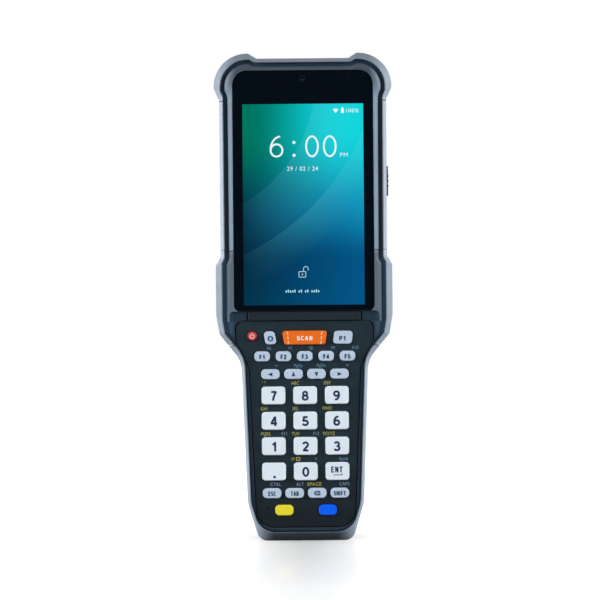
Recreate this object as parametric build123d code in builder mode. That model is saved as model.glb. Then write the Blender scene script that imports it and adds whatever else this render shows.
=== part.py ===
from build123d import *

import os
from math import atan2, cos, hypot, sin

# Portable barcode data terminal, standing on its foot. Millimetres.
# +X is to the right of the face, +Y runs from the face to the back, +Z is up along the terminal.
# The origin is the centre of the footprint, on the resting plane.

os.makedirs("parts", exist_ok=True)

# ---------------------------------------------------------------------------------------------
# Driving dimensions, and the places that follow from them
# ---------------------------------------------------------------------------------------------
# Depth, as a stack from the face to the back
front_depth = 13.2            # face of the guards to the back of the front housing
seal_thickness = 0.6
rear_depth = 16.2             # rear housing behind the screen
hump_rise = 4.0               # the battery hump stands this far out of the rear housing
groove_depth = 1.7
plate_thickness = 1.9
face_y = -(front_depth + seal_thickness + rear_depth + hump_rise) / 2
plate_y = face_y + groove_depth
plate_back_y = plate_y + plate_thickness
front_back_y = face_y + front_depth
rear_front_y = front_back_y + seal_thickness
head_back_y = rear_front_y + rear_depth
back_y = head_back_y + hump_rise

# Keys
key_gap = 0.3
key_flange = 0.6
key_flange_thickness = 0.6
key_round = 0.45
key_travel = 0.7
plunger_radius = 1.2
numeric_size = (11.0, 8.25)
numeric_radius = 1.5
numeric_proud = 1.4           # above the face plate
numeric_pitch_x = 14.75
numeric_pitch_z = 11.8
small_size = (8.6, 4.65)
small_radius = 1.9
small_proud = 1.1
arrow_pitch = 10.7
function_size = (7.2, 4.65)
function_pitch = 9.93
command_pitch = 10.5
colour_size = (8.4, 4.9)
colour_half = 10.1
scan_size = (21.0, 18.9, 6.4)         # top width, low width, height
scan_radius = 1.3
scan_proud = 1.3
side_entry_size = (5.0, 5.3, 6.0)
side_entry_gap = 5.6                  # scan key's side to the middle of the home key
home_slant = 1.0                      # the low edge lies this far to the right
program_size = (8.7, 8.7, 6.0)
program_gap = 7.3
program_slant = -0.9
upper_radius = 1.6
power_radius = 2.1
power_gap = 8.3
power_rise = 0.9
home_x = -scan_size[0] / 2 - side_entry_gap
program_x = scan_size[0] / 2 + program_gap
power_x = home_x - power_gap

# Rows of keys, one above the other from the foot of the keypad plate
panel_low_z = 6.5
colour_rise = 7.9
command_rise = 7.9
numeric_rise = 10.1
arrow_rise = 9.9
function_rise = 8.3
upper_rise = 8.6
panel_top_rise = 7.8
colour_z = panel_low_z + colour_rise
command_z = colour_z + command_rise
numeric_low_z = command_z + numeric_rise
numeric_top_z = numeric_low_z + 3 * numeric_pitch_z
arrow_z = numeric_top_z + arrow_rise
function_z = arrow_z + function_rise
upper_row_z = function_z + upper_rise
power_z = upper_row_z + power_rise
panel_top_z = upper_row_z + panel_top_rise

# Keypad plate
panel_margin = 5.75           # beside the numeric keys
panel_foot_inset = 3.1
panel_top_inset = 0.35        # narrower than the glass by this on each side
panel_neck_drop = 5.0
panel_shoulder_drop = 8.9
panel_foot_radius = 8.2
panel_neck_radius = 16.0
panel_shoulder_radius = 5.0
panel_top_radius = 3.3
panel_thickness = 1.6
panel_fit = 0.3
ledge_width = 1.8
ledge_overhang = 1.5
ledge_thickness = 2.8
board_thickness = 1.0
board_bearing = 1.2
board_low_rise = 5.0
film_thickness = 0.15
film_fit = 0.3
dome_radius = 2.0
dome_height = 0.35
dome_taper = 40.0

# Screen, glass, and the bar between glass and keypad
display_half = 29.6
display_length = 97.4
display_thickness = 3.0
display_fit = 0.3
display_radius = 1.5
glass_side_border = 2.95
glass_low_border = 2.2
glass_top_border = 12.2
glass_thickness = 1.1
glass_top_radius = 6.5
glass_low_radius = 2.9
glass_fit = 0.25
bar_width = 3.85
bar_gap = 0.35                # keypad plate to bar
bar_glass_gap = 0.4
bar_inset = 6.45              # its ends lie this far inside the glass's sides
bar_height = 0.9
bar_round = 0.3
bar_low_z = panel_top_z + bar_gap
bar_top_z = bar_low_z + bar_width
glass_low_z = bar_top_z + bar_glass_gap
display_low_z = glass_low_z + glass_low_border
display_top_z = display_low_z + display_length
glass_top_z = display_top_z + glass_top_border
glass_half = display_half + glass_side_border
bar_half = glass_half - bar_inset

# Guards, groove and bezel round them
bezel_width = 1.95
bezel_height = 1.4
bezel_slope_width = 1.35      # the bezel falls outwards over this width
bezel_slope_depth = 0.7
strip_height = 1.2            # shoulder strips, above the face plate
frame_height = 0.6            # keypad frame, above the face plate
frame_slope_width = 0.9
frame_slope_depth = 0.45
pocket_rim = 1.1              # width of the shoulder strips beside the pockets
pocket_radius = 1.9
side_groove = 2.1
side_strip = 1.85             # visible width of the side rails
top_border = 8.2              # glass to the crowns of the corner bumpers
valley_drop = 2.4             # the top edge lies this far under the corner crowns
seam_gap = 0.4
guard_fit = 0.1
guard_slope_depth = 1.7       # the guards' front falls by this from its crest to the outer wall
foot_slope_depth = 2.7        # the grip guard falls by this much more at the foot
foot_overrun = 2.0            # its solid is drawn this far past its seam, then cut
guard_crest = 0.4             # flat top of the crest, beside the groove
guard_edge_round = 0.3
guard_overlap = 0.3           # the guards reach this far back past the front housing
bumper_short = 6.0            # the top bumper's wrap ends this far before the back
shoulder_short = 8.0
wrap_inset = 2.6

# Half widths of the guards' outline, from the screen outwards and from the keys outwards
side_low_half = glass_half + glass_fit + bezel_width + side_groove + side_strip
side_top_half = side_low_half + 0.2
shoulder_flare = 2.4
shoulder_low_inset = 1.5
corner_flare = 2.5
crown_inset = 16.2
valley_inset = 3.8
grip_strip = 3.5              # keypad plate to the outside of the grip
chin_strip = 4.2
foot_inset = 5.3
shoulder_half = side_low_half + shoulder_flare
shoulder_low_half = shoulder_half - shoulder_low_inset
corner_half = side_top_half + corner_flare
crown_half = corner_half - crown_inset
valley_half = crown_half - valley_inset
panel_neck_half = numeric_pitch_x + numeric_size[0] / 2 + panel_margin
panel_foot_half = panel_neck_half - panel_foot_inset
panel_top_half = glass_half - panel_top_inset
neck_half = panel_neck_half + grip_strip
chin_half = panel_foot_half + chin_strip
foot_half = chin_half - foot_inset

# Heights where that outline turns
chin_rise = 3.1               # above the colour keys
neck_drop = 2.0               # under the function keys
shoulder_low_rise = 1.8       # above the upper row of keys
shoulder_drop = 1.5           # under the glass
shoulder_rise = 21.4
shoulder_step = 4.0
corner_drop = 8.0             # under the glass's top
corner_step = 5.2
chin_z = colour_z + chin_rise
neck_z = function_z - neck_drop
shoulder_low_z = upper_row_z + shoulder_low_rise
shoulder_z = glass_low_z - shoulder_drop
shoulder_top_z = glass_low_z + shoulder_rise
side_low_z = shoulder_top_z + shoulder_step
corner_low_z = glass_top_z - corner_drop
side_top_z = corner_low_z - corner_step
total_height = glass_top_z + top_border
top_z = total_height - valley_drop
panel_shoulder_z = panel_top_z - panel_shoulder_drop
panel_neck_z = function_z - panel_neck_drop

foot_radius = 5.0
chin_radius = 18.0
neck_radius = 14.0
shoulder_radius = 3.0
shoulder_blend_radius = 14.0
step_radius = 2.5
side_radius = 2.0
corner_radius = 15.5
crown_radius = 1.2
least_radius = 0.3

# Seams between the guards
seam_low_rise = 7.2           # grip guard to shoulder guards, above the neck
seam_mid_rise = 2.7           # shoulder guards to side rails, above the shoulder step
seam_top_drop = 0.8           # side rails to top bumper, under the corner step
pocket_drop = 0.2
seam_low_z = neck_z + seam_low_rise
seam_mid_z = side_low_z + seam_mid_rise
seam_top_z = side_top_z - seam_top_drop
pocket_low_z = panel_top_z - pocket_drop
pocket_top_z = glass_low_z

# Housings
wall = 1.8
seal_width = 1.3
rear_step = 1.2               # the rear housing lies this far inside the guards
rear_foot_radius = 6.5
rear_shoulder_radius = 10.0
rear_corner_radius = 11.0
back_wall = 2.0
rear_round = 5.5
rear_inner_round = 3.8
hump_inset = 1.5
hump_chin_inset = 0.7
hump_foot_inset = 0.4
hump_overhang = 11.5          # above the battery bay
hump_foot_radius = 4.5
hump_top_radius = 7.0
hump_sink = 10.0
hump_round = 3.0
rear_side_half = side_low_half - rear_step
rear_neck_half = neck_half - rear_step
rear_chin_half = chin_half - rear_step
rear_foot_half = foot_half - rear_step
rear_top_z = top_z - rear_step
hump_half = rear_neck_half - hump_inset
hump_chin_half = rear_chin_half - hump_chin_inset
hump_foot_half = rear_foot_half - hump_foot_inset

# Battery bay, cover and latch
bay_inset = 4.8               # inside the hump's sides at the chin
bay_low_z = 10.5
bay_top_rise = 2.5            # above the neck
bay_depth = 13.0
bay_radius = 2.0
tub_wall = 1.4
cover_fit = 0.3
cover_thickness = 2.6
pivot_radius = 0.7
pivot_fit = 0.05
pivot_length = 1.2
pack_side_fit = 1.2
pack_low_gap = 2.1
pack_top_gap = 2.1
pack_floor_gap = 0.5
pack_round = 0.8
latch_half = 7.0
latch_length = 8.4
latch_travel = 2.5
latch_drop = 6.0              # under the cover's top
latch_fit = 0.3
latch_floor = 0.6
latch_ridges = 4
latch_ridge_pitch = 1.7
latch_ridge_depth = 0.35
bolt_half = 4.0
bolt_thickness = 0.8
bolt_short = 0.2
keeper_spare = 0.9
contact_half = 6.0
contact_height = 4.5
contact_drop = 9.5            # under the bay's top
contact_pins = 4
contact_pin_pitch = 2.8
contact_pin_radius = 0.6
contact_depth = 2.4
bay_half = hump_chin_half - bay_inset
bay_top_z = neck_z + bay_top_rise
bay_floor_y = back_y - bay_depth
hump_top_z = bay_top_z + hump_overhang
contact_z = bay_top_z - contact_drop

# Side key
side_key_drop = 51.4          # under the glass's top
side_key_depth = 6.2          # before the back of the front housing
side_key_length = 14.0
side_key_width = 4.6
side_key_proud = 0.8
side_key_radius = 1.6
side_key_round = 0.4
side_key_flange = 0.8
side_key_flange_thickness = 0.6
side_key_z = glass_top_z - side_key_drop
side_key_y = front_back_y - side_key_depth

# Main board and what it carries
side_inner_half = side_low_half - side_strip - wall
main_board_inset = 2.05
main_board_low_rise = 1.0     # above the glass's low edge
main_board_over = 2.4         # past the display's top
main_board_depth = 5.2        # before the back of the front housing
main_board_thickness = 1.0
post_radius = 1.5
post_inset = 1.4
post_low_rise = 17.0
post_top_drop = 19.0
post_notch_fit = 0.4
can_height = 2.4
can_wall = 0.3
can_sizes = [                 # centre x, height above the board's low edge, width, height
    (-14.0, 67.0, 26.0, 30.0),
    (16.0, 64.0, 22.0, 22.0),
    (0.0, 30.0, 40.0, 20.0),
]
camera_radius = 2.8
camera_drop = 3.7             # under the glass's top
camera_depth = 3.8
camera_fit = 0.2
main_board_half = side_inner_half - main_board_inset
main_board_low_z = glass_low_z + main_board_low_rise
main_board_top_z = display_top_z + main_board_over
main_board_y = front_back_y - main_board_depth
post_half = main_board_half - post_inset
post_heights = (main_board_low_z + post_low_rise, main_board_top_z - post_top_drop)
camera_z = glass_top_z - camera_drop

# Scan engine and its window in the top end
window_half = 13.0
window_setback = 3.7          # behind the seal
window_depth = 6.4
window_thickness = 0.8
window_ledge = 1.0
window_fit = 0.1
engine_half = 10.8
engine_depth = 11.5
engine_length = 13.5
engine_gap = 6.1              # between its eyes and the window
engine_eye_radius = 3.4
window_front_y = rear_front_y + window_setback
window_back_y = window_front_y + window_depth
window_low_z = rear_top_z - window_thickness
engine_top_z = window_low_z - engine_gap
engine_low_z = engine_top_z - engine_length

# Rear camera, loudspeaker
rear_camera_x = -18.0
rear_camera_drop = 33.4       # under the rear housing's top
rear_camera_size = 9.0
rear_camera_depth = 6.0
barrel_radius = 3.4
lens_window_radius = 4.6
flash_window_radius = 1.6
flash_drop = 9.0
rear_window_thickness = 0.8
rear_window_ledge = 0.9
speaker_x = 16.0
speaker_width = 15.0
speaker_height = 11.0
speaker_depth = 3.4
grille_slots = 5
grille_pitch = 2.2
grille_slot_width = 1.1
grille_slot_length = 9.0
rear_camera_z = rear_top_z - rear_camera_drop
flash_z = rear_camera_z - flash_drop

# Screws
screw_radius = 1.0
screw_head_radius = 1.9
screw_head_height = 1.4
screw_drive_radius = 0.95
screw_drive_depth = 0.8
screw_seat_depth = 3.5        # before the back of the rear housing
screw_reach = 5.7             # into the front housing
screw_tip_gap = 0.3
screw_pilot_fit = 0.05
screw_hole_fit = 0.25
counterbore_fit = 0.2
front_post_radius = 2.3
rear_post_radius = 2.9
upper_screw_inset = 2.05
upper_screw_rise = 5.0        # above the glass's low edge
upper_screw_drop = 0.6        # under the corner step
lower_screw_half = 14.0
lower_screw_z = 6.8
upper_screw_half = side_inner_half - upper_screw_inset
upper_screw_heights = (glass_low_z + upper_screw_rise, side_top_z - upper_screw_drop)
screw_seat_y = head_back_y - screw_seat_depth
screw_tip_y = front_back_y - screw_reach

# Dock connector in the foot
dock_half = 8.0
dock_setback = 3.0            # behind the seal
dock_depth = 4.4
dock_recess = 0.4
dock_height = 6.0
dock_flange = 1.0
dock_pads = 5
dock_pad_pitch = 2.8
dock_pad_radius = 0.75
dock_front_y = rear_front_y + dock_setback

# Accessory screw holes in the back
accessory_half = 12.0
accessory_rise = 52.0         # above the hump
accessory_radius = 1.25
accessory_depth = 6.0
accessory_boss_radius = 3.2
accessory_z = hump_top_z + accessory_rise

# ---------------------------------------------------------------------------------------------
# Levels and edges that several pieces share
# ---------------------------------------------------------------------------------------------
panel_back_y = plate_y + panel_thickness
board_y = panel_back_y + ledge_thickness
film_y = board_y - film_thickness
dome_y = film_y - dome_height
guard_back_y = front_back_y + guard_overlap
cavity_back_y = head_back_y - back_wall
flange_y = panel_back_y + key_gap
flange_back_y = flange_y + key_flange_thickness
plunger_y = dome_y - key_travel - key_gap
cover_y = back_y - cover_thickness
pivot_y = back_y - cover_thickness / 2
pivot_z = bay_low_z + cover_fit + cover_thickness / 2
cover_half = bay_half - cover_fit
cover_top_z = bay_top_z - cover_fit
pack_half = bay_half - pack_side_fit
pack_front_y = bay_floor_y + pack_floor_gap
latch_front_y = cover_y + latch_floor + latch_fit
latch_top_z = cover_top_z - latch_drop
latch_low_z = latch_top_z - latch_length
bolt_end_z = cover_top_z - bolt_short

# ---------------------------------------------------------------------------------------------
# Outlines: each half outline runs from the bottom centre, up the right side, to the top centre.
# A corner is (x, z, radius).
# ---------------------------------------------------------------------------------------------
guard_corners = [
    (foot_half, 0, foot_radius),
    (chin_half, chin_z, chin_radius),
    (neck_half, neck_z, neck_radius),
    (shoulder_low_half, shoulder_low_z, shoulder_radius),
    (shoulder_half, shoulder_z, shoulder_blend_radius),
    (shoulder_half, shoulder_top_z, step_radius),
    (side_low_half, side_low_z, side_radius),
    (side_top_half, side_top_z, shoulder_radius),
    (corner_half, corner_low_z, step_radius),
    (corner_half, total_height, corner_radius),
    (crown_half, total_height, crown_radius),
    (valley_half, top_z, side_radius),
]

# How far each stretch of an inner edge lies inside the guards' outline, from the bottom up:
# bottom, chin, grip, neck, low shoulder, shoulder, shoulder step, side, corner step, corner,
# crown, slope, top
core_insets = [4.2, 1.6, 1.6, 2.2, 2.6, 3.0, 2.0, side_strip, 2.2, 3.1, 3.0, 2.2, 1.9]
groove_widths = [0.0, 0.0, 0.0, 0.9, 2.0, 2.1, 2.1, side_groove, 2.0, 2.0, 2.0, 2.0, 2.1]
core_foot_radius = 9.5

panel_corners = [
    (panel_foot_half, panel_low_z, panel_foot_radius),
    (panel_neck_half, panel_neck_z, panel_neck_radius),
    (panel_top_half, panel_shoulder_z, panel_shoulder_radius),
    (panel_top_half, panel_top_z, panel_top_radius),
]

neck_slope = (shoulder_low_half - neck_half) / (shoulder_low_z - neck_z)
rear_shoulder_z = neck_z + (rear_side_half - rear_neck_half) / neck_slope
rear_corners = [
    (rear_foot_half, 0, rear_foot_radius),
    (rear_chin_half, chin_z, chin_radius),
    (rear_neck_half, neck_z, neck_radius),
    (rear_side_half, rear_shoulder_z, rear_shoulder_radius),
    (rear_side_half, rear_top_z, rear_corner_radius),
]

hump_corners = [
    (hump_foot_half, 0, hump_foot_radius),
    (hump_chin_half, chin_z, chin_radius),
    (hump_half, hump_top_z, hump_top_radius),
]

glass_corners = [
    (glass_half, glass_low_z, glass_low_radius),
    (glass_half, glass_top_z, glass_top_radius),
]


def inset_outline(corners, insets, first_radius=None):
    """Half outline whose stretches lie inside the given one, each by its own inset."""
    starts = [(0, corners[0][1])] + [corner[:2] for corner in corners]
    ends = [corner[:2] for corner in corners] + [(0, corners[-1][1])]
    lines = []
    for (x0, z0), (x1, z1), inset in zip(starts, ends, insets):
        length = hypot(x1 - x0, z1 - z0)
        ux, uz = (x1 - x0) / length, (z1 - z0) / length
        lines.append((x0 - uz * inset, z0 + ux * inset, ux, uz))
    moved = []
    for low, high, corner, inset in zip(lines, lines[1:], corners, insets[1:]):
        cross = low[2] * high[3] - low[3] * high[2]
        along = ((high[0] - low[0]) * high[3] - (high[1] - low[1]) * high[2]) / cross
        turned_in = inset if cross > 0 else -inset
        radius = max(least_radius, corner[2] - turned_in)
        moved.append((low[0] + low[2] * along, low[1] + low[3] * along, radius))
    if first_radius is not None:
        moved[0] = (*moved[0][:2], first_radius)
    return moved


core_corners = inset_outline(guard_corners, core_insets, core_foot_radius)
crest_insets = [core - guard_crest for core in core_insets]
crest_corners = inset_outline(guard_corners, crest_insets, core_foot_radius)
strip_insets = [core + groove for core, groove in zip(core_insets, groove_widths)]
strip_corners = inset_outline(guard_corners, strip_insets, core_foot_radius)
pocket_half = shoulder_half - strip_insets[5] - pocket_rim
bezel_crest_corners = inset_outline(
    guard_corners, [strip + bezel_slope_width for strip in strip_insets], core_foot_radius
)
frame_crest_corners = inset_outline(
    guard_corners, [strip + frame_slope_width for strip in strip_insets], core_foot_radius
)
rear_inner_corners = inset_outline(rear_corners, [wall] * (len(rear_corners) + 1))
core_inner_corners = inset_outline(core_corners, [wall] * (len(core_corners) + 1))
board_corners = inset_outline(core_corners, [wall + panel_fit] * (len(core_corners) + 1))


def level(y, x=0.0, z=0.0):
    """Sketch plane across the terminal at depth y, seen from the face, centred on x and z."""
    return Plane(origin=(x, y, z), x_dir=(1, 0, 0), z_dir=(0, -1, 0))


def outline(corners, y):
    """Closed sketch at depth y of a half outline and its mirror image."""
    right = [(x, z) for x, z, _ in corners]
    left = [(-x, z) for x, z, _ in reversed(corners)]
    radii = [radius for _, _, radius in corners]
    with BuildSketch(level(y)) as sketch:
        with BuildLine():
            FilletPolyline(*right, *left, radius=radii + radii[::-1], close=True)
        make_face()
    return sketch.sketch


def slab(sketch, y0, y1, mode=Mode.ADD):
    """Extrude a sketch drawn at depth y0 back to y1."""
    return extrude(sketch, amount=y1 - y0, dir=(0, 1, 0), mode=mode)


def between(x0, x1, y0, y1, z0, z1, mode=Mode.ADD):
    """Box from its lowest to its highest corner."""
    with Locations(((x0 + x1) / 2, (y0 + y1) / 2, (z0 + z1) / 2)):
        return Box(x1 - x0, y1 - y0, z1 - z0, mode=mode)


def disc(x, z, radius, y0, y1, mode=Mode.ADD):
    """Round bar or hole along Y from y0 to y1."""
    with BuildSketch(level(y0, x, z)) as sketch:
        Circle(radius)
    return slab(sketch.sketch, y0, y1, mode)


def tile(x, z, width, height, radius, y0, y1, mode=Mode.ADD):
    """Round-cornered plate or pocket along Y from y0 to y1."""
    with BuildSketch(level(y0, x, z)) as sketch:
        RectangleRounded(width, height, radius)
    return slab(sketch.sketch, y0, y1, mode)


def crowned(crest_corners, corners, top_y, slope_y, back_y):
    """Solid whose front falls from a crest at top_y to its outer wall at slope_y."""
    loft(sections=[outline(crest_corners, top_y).face(), outline(corners, slope_y).face()], ruled=True)
    slab(outline(corners, slope_y), slope_y, back_y)


def front_edges(part, y):
    """Edges that lie wholly at depth y."""
    return part.edges().filter_by_position(Axis.Y, y - 0.01, y + 0.01)


def save(part, name):
    """Label a finished piece and write its STEP file."""
    part.label = name
    export_step(part, f"parts/{name}.step")
    print(f"{name:20s} {part.volume:10.1f} mm3  {len(part.solids())} solid(s)")


# ---------------------------------------------------------------------------------------------
# Guards: light grey pieces round the outside of the front housing
# ---------------------------------------------------------------------------------------------
far = 2 * total_height        # reaches past the terminal on every side


def cut_short(corners, z):
    """Half outline that ends at height z, on the stretch above its third corner."""
    (x0, z0, _), (x1, z1, _) = corners[2:4]
    return [*corners[:3], (x0 + (x1 - x0) * (z - z0) / (z1 - z0), z, least_radius)]


def sloped_foot():
    """Grip guard before its core is cut: its front edge falls back more and more towards the foot."""
    end_z = seam_low_z + foot_overrun
    slope_y = face_y + guard_slope_depth
    lean = atan2(foot_slope_depth, seam_low_z)
    edge_plane = Plane(
        origin=(0, slope_y, seam_low_z), x_dir=(1, 0, 0), z_dir=(0, -cos(lean), -sin(lean))
    )
    half = [(x, (z - seam_low_z) / cos(lean), radius) for x, z, radius in cut_short(guard_corners, end_z)]
    right = [(x, z) for x, z, _ in half]
    left = [(-x, z) for x, z, _ in reversed(half)]
    radii = [radius for _, _, radius in half]
    with BuildSketch(edge_plane) as edge:
        with BuildLine():
            FilletPolyline(*right, *left, radius=radii + radii[::-1], close=True)
        make_face()
    with BuildPart() as foot:
        crest = outline(cut_short(crest_corners, end_z), face_y).face()
        loft(sections=[crest, edge.sketch.face()], ruled=True)
        extrude(edge.sketch, amount=head_back_y, dir=(0, 1, 0))
    return foot.part


def make_guard(name, low_z, high_z, wrap_y=None, wrap_from=0.0):
    """One length of the guard, between two seams, with its wrap behind the front housing."""
    with BuildPart() as guard:
        if low_z < 0:
            add(sloped_foot())
        else:
            crowned(crest_corners, guard_corners, face_y, face_y + guard_slope_depth, guard_back_y)
        slab(outline(core_corners, face_y), face_y, guard_back_y, Mode.SUBTRACT)
        between(-far, far, face_y, guard_back_y, low_z, high_z, Mode.INTERSECT)
        if wrap_y is not None:
            for side in (-1, 1):
                add(make_wrap(low_z, high_z, wrap_y, side * wrap_from, side * far))
        if low_z < side_key_z < high_z:
            side_key_hole()
    save(guard.part, name)


def make_wrap(low_z, high_z, wrap_y, from_x, to_x):
    """Part of a guard that lies outside the rear housing."""
    with BuildPart() as wrap:
        slab(outline(guard_corners, guard_back_y), guard_back_y, wrap_y)
        with BuildSketch(level(guard_back_y)) as housing:
            add(outline(rear_corners, guard_back_y))
            offset(amount=guard_fit)
        slab(housing.sketch, guard_back_y, wrap_y, Mode.SUBTRACT)
        x0, x1 = sorted((from_x, to_x))
        between(x0, x1, guard_back_y, wrap_y, low_z, high_z, Mode.INTERSECT)
        fillet(front_edges(wrap, wrap_y), guard_edge_round)
    return wrap.part


def side_key_hole():
    """Hole for the side key through the right wall."""
    with BuildSketch(Plane.YZ.offset(rear_side_half - side_key_flange - wall)) as hole:
        with Locations((side_key_y, side_key_z)):
            RectangleRounded(
                side_key_width + 2 * key_gap,
                side_key_length + 2 * key_gap,
                side_key_radius + key_gap,
            )
    extrude(hole.sketch, amount=corner_half, mode=Mode.SUBTRACT)


def glass_pocket(y):
    """Outline of the glass with its fit."""
    with BuildSketch(level(y)) as pocket:
        add(outline(glass_corners, y))
        offset(amount=glass_fit)
    return pocket.sketch


half_gap = seam_gap / 2
make_guard("top_bumper", seam_top_z + half_gap, far, head_back_y - bumper_short, crown_half - wrap_inset)
make_guard("side_rails", seam_mid_z + half_gap, seam_top_z - half_gap)
make_guard("shoulder_guards", seam_low_z + half_gap, seam_mid_z - half_gap, head_back_y - shoulder_short)
make_guard("grip_guard", -half_gap, seam_low_z - half_gap)

# Inner light strip round the glass, in three lengths: one above the middle seam, and two below it
# that run down past the pockets at the ends of the bar
bezel_y = plate_y - bezel_height
strip_y = plate_y - strip_height
with BuildPart() as shoulder_trims:
    crowned(bezel_crest_corners, strip_corners, strip_y, strip_y + bezel_slope_depth, plate_y)
    between(-far, far, strip_y, plate_y, pocket_low_z, seam_mid_z - half_gap, Mode.INTERSECT)
    slab(glass_pocket(strip_y), strip_y, plate_y, Mode.SUBTRACT)
    cut_low_z = pocket_low_z - 2 * pocket_radius
    cut_z, cut_height = (cut_low_z + pocket_top_z) / 2, pocket_top_z - cut_low_z
    tile(0, cut_z, 2 * pocket_half, cut_height, pocket_radius, strip_y, plate_y, Mode.SUBTRACT)
with BuildPart() as glass_bezel:
    crowned(bezel_crest_corners, strip_corners, bezel_y, bezel_y + bezel_slope_depth, plate_y)
    slab(glass_pocket(bezel_y), bezel_y, plate_y, Mode.SUBTRACT)
    between(-far, far, bezel_y, plate_y, seam_mid_z + half_gap, far, Mode.INTERSECT)
    add(shoulder_trims.part)
save(glass_bezel.part, "glass_bezel")

# ---------------------------------------------------------------------------------------------
# Front housing
# ---------------------------------------------------------------------------------------------
frame_y = plate_y - frame_height


def panel_outline(y, grow):
    """Outline of the keypad plate, grown outwards or, below nought, drawn in."""
    with BuildSketch(level(y)) as panel:
        add(outline(panel_corners, y))
        if grow:
            offset(amount=grow)
    return panel.sketch


screw_spots = [(upper_screw_half, z) for z in upper_screw_heights] + [(lower_screw_half, lower_screw_z)]
screw_places = [(side * half, z) for side in (-1, 1) for half, z in screw_spots]

with BuildPart() as raised_frame:
    crowned(frame_crest_corners, strip_corners, frame_y, frame_y + frame_slope_depth, plate_y)
    between(-far, far, frame_y, plate_y, -far, pocket_low_z, Mode.INTERSECT)

with BuildPart() as panel_ledge:
    slab(panel_outline(plate_back_y, ledge_overhang), plate_back_y, board_y)
    slab(outline(core_corners, plate_back_y), plate_back_y, board_y, Mode.INTERSECT)

with BuildPart() as front_housing:
    slab(outline(core_corners, plate_y), plate_y, front_back_y)
    slab(outline(core_inner_corners, plate_back_y), plate_back_y, front_back_y, Mode.SUBTRACT)
    add(raised_frame.part)
    add(panel_ledge.part)
    slab(panel_outline(frame_y, panel_fit), frame_y, panel_back_y, Mode.SUBTRACT)
    slab(panel_outline(panel_back_y, -ledge_width), panel_back_y, board_y, Mode.SUBTRACT)
    for x, z in screw_places:
        post_front_y = board_y if z == lower_screw_z else plate_back_y
        disc(x, z, front_post_radius, post_front_y, front_back_y)
    for side in (-1, 1):
        for z in post_heights:
            disc(side * post_half, z, post_radius, plate_back_y, main_board_y)
    pilot = screw_radius + screw_pilot_fit
    for x, z in screw_places:
        disc(x, z, pilot, screw_tip_y - screw_tip_gap, front_back_y, Mode.SUBTRACT)
    display_width = 2 * (display_half + display_fit)
    display_height = display_top_z - display_low_z + 2 * display_fit
    display_z = (display_low_z + display_top_z) / 2
    tile(0, display_z, display_width, display_height, display_radius, plate_y, plate_back_y, Mode.SUBTRACT)
    disc(0, camera_z, camera_radius + camera_fit, plate_y, plate_back_y, Mode.SUBTRACT)
    side_key_hole()
save(front_housing.part, "front_housing")

# Bar between the glass and the keypad
with BuildPart() as bridge_bar:
    bar_y = plate_y - bar_height
    tile(0, (bar_low_z + bar_top_z) / 2, 2 * bar_half, bar_top_z - bar_low_z, bar_round, bar_y, plate_y)
    fillet(front_edges(bridge_bar, bar_y), bar_round)
save(bridge_bar.part, "bridge_bar")

# ---------------------------------------------------------------------------------------------
# Glass, screen, camera behind the glass
# ---------------------------------------------------------------------------------------------
glass_y = plate_y - glass_thickness
with BuildPart() as touch_glass:
    slab(outline(glass_corners, glass_y), glass_y, plate_y)
    fillet(front_edges(touch_glass, glass_y), glass_fit)
save(touch_glass.part, "touch_glass")

with BuildPart() as display_module:
    tile(
        0, display_z, 2 * display_half, display_top_z - display_low_z, display_radius,
        plate_y, plate_y + display_thickness,
    )
save(display_module.part, "display_module")

with BuildPart() as front_camera:
    disc(0, camera_z, camera_radius, plate_y, plate_y + camera_depth)
    disc(0, camera_z, camera_radius / 2, plate_y, plate_y + camera_fit, Mode.SUBTRACT)
save(front_camera.part, "front_camera")

# ---------------------------------------------------------------------------------------------
# Keys: each is (name, x, z, shape, proud). A shape is a disc's radius, or the top width, low
# width, height, slant of the low edge and corner radius of a four-sided cap.
# ---------------------------------------------------------------------------------------------
def four_sided(size, radius, slant=0.0):
    """Shape of a cap from its width and height, or its top width, low width and height."""
    top_width, low_width, height = size if len(size) == 3 else (size[0], size[0], size[1])
    return top_width, low_width, height, slant, radius


numeric_shape = four_sided(numeric_size, numeric_radius)
small_shape = four_sided(small_size, small_radius)
function_shape = four_sided(function_size, small_radius)
colour_shape = four_sided(colour_size, small_radius)

keys = [
    ("key_power", power_x, power_z, power_radius, small_proud),
    ("key_home", home_x, upper_row_z, four_sided(side_entry_size, upper_radius, home_slant), small_proud),
    ("key_scan", 0.0, upper_row_z, four_sided(scan_size, scan_radius), scan_proud),
    ("key_p1", program_x, upper_row_z, four_sided(program_size, upper_radius, program_slant), small_proud),
    ("key_yellow", -colour_half, colour_z, colour_shape, small_proud),
    ("key_blue", colour_half, colour_z, colour_shape, small_proud),
]
for index in range(5):
    x = (index - 2) * function_pitch
    keys.append((f"key_f{index + 1}", x, function_z, function_shape, small_proud))
for index, word in enumerate(("left", "up", "down", "right")):
    keys.append((f"key_{word}", (index - 1.5) * arrow_pitch, arrow_z, small_shape, small_proud))
for index, word in enumerate(("escape", "tab", "backspace", "shift")):
    keys.append((f"key_{word}", (index - 1.5) * command_pitch, command_z, small_shape, small_proud))
for row, words in enumerate((("7", "8", "9"), ("4", "5", "6"), ("1", "2", "3"), ("point", "0", "enter"))):
    for column, word in enumerate(words):
        place = ((column - 1) * numeric_pitch_x, numeric_top_z - row * numeric_pitch_z)
        keys.append((f"key_{word}", *place, numeric_shape, numeric_proud))


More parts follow.
